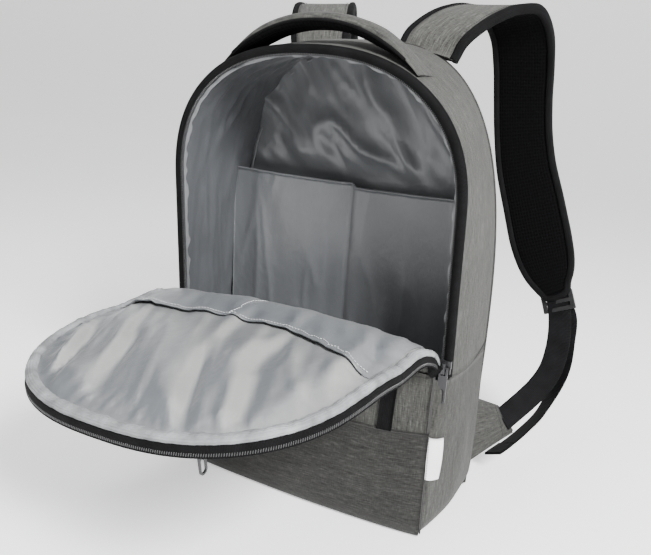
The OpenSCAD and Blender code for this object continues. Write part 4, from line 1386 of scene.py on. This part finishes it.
# ------------------------------------------------------------------ handle
def handle():
    y0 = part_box("handle_cover")[0][1]
    y1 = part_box("handle_cover")[1][1]
    mid_y = (y0 + y1) / 2
    pts = [(-100, 411), (-90, 420.5), (-76, 431), (-50, 444.5), (-25, 451.5), (0, 453.5),
           (25, 451.5), (50, 444.5), (76, 431), (90, 420.5), (100, 411)]
    base = np.array([(x, mid_y / MM, z) for x, z in pts]) * MM
    path = resample(base, 90)
    k = np.clip(1 - np.abs(path[:, 0]) / (100 * MM), 0, 1)
    thick = (3.0 + 9.5 * smooth(k * 2.2)) * MM
    width = (30 + 6 * smooth((np.abs(path[:, 0]) - 60 * MM) / (35 * MM))) * MM
    path[:, 1] += 4 * MM * smooth((np.abs(path[:, 0]) - 60 * MM) / (35 * MM))
    ways = rows_of([0.0, -1.0, 0.0], len(path))

    def on_handle(obj):
        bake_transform(obj)

    # each half of the section: its first angle, its width, height and drop
    for name, slot, first, wide, high, drop, nodes in (
            ("handle_cover_cloth", "heather", 0, 1.0, 0.62, 0.0, ("handle_cover", "handle_anchors")),
            ("handle_under_mesh", "air_mesh", math.pi, 1.01, 0.55, -0.2 * MM, ("handle_underside",))):
        a = np.linspace(first, first + math.pi, 13)
        ring = [np.stack([signed_power(np.cos(a), 0.62) * w / 2 * wide,
                          signed_power(np.sin(a), 0.8) * t * high + drop], -1) for t, w in zip(thick, width)]
        obj = sweep(name, path, np.array(ring), M[slot], ways)
        on_handle(obj)
        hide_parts(*nodes)
    # bound edge of the grip, front and rear
    for word, sign in (("front", -1), ("rear", 1)):
        edge = path.copy()
        edge[:, 1] += sign * width / 2
        inner = np.abs(edge[:, 0]) < 88 * MM
        on_handle(tube(f"handle_edge_{word}", resample(edge[inner], 80), 1.5 * MM, M["tape"], 8))


# ------------------------------------------------------------------ shoulder straps
STRAP = [(60, 60, 436), (64, 67, 450), (72, 82, 464), (84, 104, 477), (97, 130, 485), (109, 158, 484),
         (116, 181, 466), (118, 198, 435), (119, 209, 400), (123, 214, 362), (131, 215, 325), (145, 213, 286),
         (160, 210, 245), (172, 208, 217), (181, 205.5, 198), (187, 204, 188)]
STRAP_SHARE = [1.0, 1.03, 1.06, 1.08, 1.08, 1.07, 1.05, 1.02, 1, 1, 1.03, 1.06, 1.08, 0.98, 0.72, 0.42]


def mirrored(path, sign):
    path = np.array(path, float)
    path[:, 0] *= sign
    return path


def strap(sign, word):
    raw = np.array(STRAP, float) * MM
    path = resample(raw, 120)
    d, e = arc_length(raw), arc_length(path)
    share = np.interp(e / e[-1], d / d[-1], STRAP_SHARE)
    share = np.convolve(np.pad(share, 3, mode="edge"), np.ones(7) / 7, mode="valid")
    path = mirrored(path, sign)
    ways = rows_of([float(sign), 0.0, 0.0], 120)
    half = 31.5 * MM

    def on_strap(obj):
        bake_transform(obj)

    def crowned(top):
        """Upper or lower half of the strap's section, as wide as the strap is at each place."""
        a = np.linspace(0, math.pi, 17)
        across = signed_power(np.cos(a), 0.5)[None] * (half * share - 3.0 * MM)[:, None]
        return np.stack([across, np.broadcast_to(np.abs(np.sin(a)) ** 0.45 * top, across.shape)], -1)

    rings = [crowned(4.4 * MM), crowned(-4.2 * MM)[:, ::-1]]
    if sign < 0:
        rings = [(ring * np.array([1, -1]))[:, ::-1] for ring in rings]
    cover = sweep(f"strap_cloth_{word}", path, rings[0], M["heather_strap"], ways)
    under = sweep(f"strap_air_mesh_{word}", path, rings[1], M["air_mesh"], ways)
    for obj, slot, own in ((cover, "heather", f"strap_cover_{word}"), (under, "air_mesh", f"strap_mesh_{word}")):
        on_strap(obj)
        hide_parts(own)
    # binding round both edges and the rounded end
    ahead, side, up = frames(path, ways)
    rim_w = half * share - 2.6 * MM
    turns = np.linspace(math.pi / 2, -math.pi / 2, 7)[1:-1]
    tip = [path[-1] + ahead[-1] * 4 * MM * math.cos(t) + side[-1] * rim_w[-1] * math.sin(t) for t in turns]
    edge = np.concatenate([path + side * rim_w[:, None], tip, (path - side * rim_w[:, None])[::-1]])
    way = [ahead[-1] * math.cos(t) + side[-1] * math.sin(t) for t in turns]
    way = np.concatenate([side, way, -side[::-1]]) * sign
    section = round_section(7.5 * MM, 10.4 * MM, 4, 3.2)
    on_strap(sweep(f"strap_binding_{word}", edge, section, M["tape"], way))
    for k, off in (("a", 1), ("b", -1)):
        line = path + side * ((rim_w - 5.5 * MM) * off)[:, None] + up * 4.6 * MM * sign
        on_strap(stitches(f"strap_stitches_{word}_{k}", line[3:108], (up * sign)[3:108],
                          M["thread_dark"], 3.4 * MM, 2.4 * MM, 0.3 * MM))


WEB = [(189, 204, 186), (192, 201, 176), (195, 198.5, 166), (199, 190, 150), (201, 180, 130), (200, 165, 110),
       (194, 146, 95), (186, 128, 84), (177, 110, 74), (170, 97, 66.5)]
TAIL = [(190, 206.5, 184), (196, 206, 172), (202, 203, 160), (204, 200, 135), (206, 192, 105), (203, 180, 78),
        (195, 163, 55), (184, 142, 40), (173, 117, 30), (165, 97, 25)]


def webbing(sign, word):
    path = resample(np.array(WEB, float) * MM, 70)
    k = np.linspace(0, 1, 70)[:, None]
    ways = np.array([1.0, 0, 0]) * (1 - smooth(k)) + np.array([0.64, 0, -0.77]) * smooth(k)
    path, ways = mirrored(path, sign), mirrored(ways, sign)
    path = path + np.array([0, 1, 0]) * np.sin(np.linspace(0, 9, 70))[:, None] * 0.6 * MM
    section = round_section(25 * MM, 1.9 * MM, 5, 6)
    obj = sweep(f"lower_webbing_{word}", path, section, M["webbing"], ways)
    place(obj, f"strap_{word}", "webbing", f"strap_web_{word}")
    tail = resample(np.array(TAIL, float) * MM, 80)
    k = np.linspace(0, 1, 80)[:, None]
    turn = smooth((k - 0.18) / 0.45)
    ways = np.array([1.0, 0, 0]) * (1 - turn) + np.array([0.52, -0.80, 0.28]) * turn
    tail, ways = mirrored(tail, sign), mirrored(ways, sign)
    obj = sweep(f"loose_tail_{word}", tail, round_section(25 * MM, 1.8 * MM, 5, 6), M["webbing"], ways)
    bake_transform(obj)
    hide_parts(f"web_tail_{word}")
    # folded and sewn end of the tail
    end = resample(tail[-9:], 12)
    fold = sweep(f"tail_end_fold_{word}", end + np.array([0, 0.4, 1.2]) * MM,
                 round_section(24.6 * MM, 2.2 * MM, 5, 6), M["webbing"], rows_of(ways[-1], 12))
    place(fold, f"web_tail_{word}", "webbing")


def anchor_patch(sign, word):
    """Quilted triangular patch from the rear side seam to the webbing."""
    a = np.array([(150.5, 57, 99), (148, 57, 27)]) * MM
    b = np.array([(163.5, 102, 79), (181.5, 102, 55)]) * MM
    u = np.linspace(0, 1, 22)[:, None]
    v = np.linspace(0, 1, 26)
    near = a[0] * (1 - u) + a[1] * u
    far = b[0] * (1 - u) + b[1] * u
    grid = near[:, None] * (1 - v)[None, :, None] + far[:, None] * v[None, :, None]
    grid[..., 0] += 2.5 * MM * (np.sin(math.pi * v)[None] * np.sin(math.pi * u))
    grid[..., 0] *= sign
    obj = shell_grid(f"anchor_patch_cloth_{word}", grid, 3.4 * MM, M["heather_low"], sign)
    place(obj, "root", "heather", f"anchor_patch_{word}")
    n = grid_normals(grid)
    n = n if n[10, 10, 0] * sign > 0 else -n
    for i, j in ((0, 23), (1, 20)):
        line = grid[1:-1, j] + n[1:-1, j] * 0.3 * MM
        place(stitches(f"patch_stitches_{word}_{i}", line, n[1:-1, j], M["thread_dark"],
                       2.8 * MM, 2 * MM, 0.35 * MM), "root", "heather")
    for i, (line, m) in enumerate(((grid[0], n[0]), (grid[-1], n[-1]), (grid[:, -1], n[:, -1]))):
        place(tube(f"patch_edge_{word}_{i}", resample(line - m * 1.7 * MM, 30), 2.0 * MM,
                   M["heather"], 8), "root", "heather")


# ------------------------------------------------------------------ hard pieces kept from the frame
def hard_nodes():
    for name, obj in frame["nodes"].items():
        mat = None
        if "slider" in name or "puller" in name:
            mat = M["metal"]
        if "ladder_lock" in name or name == "charge_box":
            mat = M["buckle"]
        if mat is None:
            continue
        dress(obj, mat)
        bevel = obj.modifiers.new("soft_edges", "BEVEL")
        bevel.width = 0.35 * MM
        bevel.segments = 2
        bevel.limit_method = "ANGLE"
        bevel.angle_limit = math.radians(40)


# ------------------------------------------------------------------ stage
def camera():
    yaw, pitch, roll = 0.494, 0.251, 0.068
    ahead = np.array([-math.sin(yaw) * math.cos(pitch), math.cos(yaw) * math.cos(pitch), -math.sin(pitch)])
    right = np.array([math.cos(yaw), math.sin(yaw), 0.0])
    up = np.cross(right, ahead)
    r = right * math.cos(roll) + up * math.sin(roll)
    u = -right * math.sin(roll) + up * math.cos(roll)
    data = bpy.data.cameras.new("camera")
    data.sensor_width = 36
    data.lens = 40.33
    data.clip_start = 0.01
    obj = bpy.data.objects.new("camera", data)
    m = Matrix.Identity(4)
    for i in range(3):
        m[i][0], m[i][1], m[i][2] = r[i], u[i], -ahead[i]
    m[0][3], m[1][3], m[2][3] = 0.337, -0.6315, 0.395
    obj.matrix_world = m
    bpy.context.collection.objects.link(obj)
    bpy.context.scene.camera = obj


def area_light(name, at, target, size, power):
    data = bpy.data.lights.new(name, "AREA")
    data.size = size
    data.energy = power
    obj = bpy.data.objects.new(name, data)
    obj.location = at
    obj.rotation_euler = (Vector(target) - Vector(at)).to_track_quat("-Z", "Y").to_euler()
    bpy.context.collection.objects.link(obj)


def studio():
    world = bpy.data.worlds.new("studio")
    world.use_nodes = True
    back = world.node_tree.nodes["Background"]
    back.inputs["Color"].default_value = (1, 1, 1, 1)
    back.inputs["Strength"].default_value = 0.52
    bpy.context.scene.world = world
    turn = [(3.0 + 1.6 * math.sin(a), 1.6 - 1.6 * math.cos(a)) for a in np.linspace(0, math.pi / 2, 12)]
    line = [(-6.0, 0.0)] + turn + [(4.6, 8.0)]
    mesh = bpy.data.meshes.new("floor")
    mesh.from_pydata([(x, y, z) for y, z in line for x in (-9.0, 9.0)], [],
                     [(2 * i, 2 * i + 1, 2 * i + 3, 2 * i + 2) for i in range(len(line) - 1)])
    for p in mesh.polygons:
        p.use_smooth = True
    floor = bpy.data.objects.new("floor", mesh)
    floor.location.z = -0.2 * MM
    bpy.context.collection.objects.link(floor)
    mat, tree, bsdf = new_material("floor_paper")
    grain = node(tree, "ShaderNodeTexNoise")
    grain.inputs["Scale"].default_value = 6.0
    link(tree, ramp(tree, grain.outputs["Fac"], ((0.3, 0.89), (0.7, 0.91))), bsdf.inputs["Base Color"])
    set_inputs(bsdf, {"Roughness": 0.95, "Specular IOR Level": 0.1, "Emission Color": (1, 1, 1, 1),
                      "Emission Strength": 0.55})
    mesh.materials.append(mat)
    area_light("key", (1.25, -0.80, 1.25), (0, -0.05, 0.22), 0.5, 96)
    area_light("fill", (-1.3, -1.1, 0.7), (0, -0.1, 0.2), 1.4, 9)
    area_light("top", (-0.35, -0.35, 1.7), (0, -0.1, 0.25), 0.8, 14)


camera()
studio()
body_wall()
for side in SIDES:
    side_cloth(*side)
    strap(*side)
    webbing(*side)
    anchor_patch(*side)
front_cloth()
front_pocket()
front_seams()
front_bands()
body_base()
back_cloth()
rear_piping()
seam_tag()
body_zip()
lining_walls()
lining_back()
laptop_sleeve()
floor_lining()
inner_bindings()
flap_shell()
flap_lining()
flap_edge()
slip_pocket()
flap_outer()
hinge_corners()
handle()
hard_nodes()
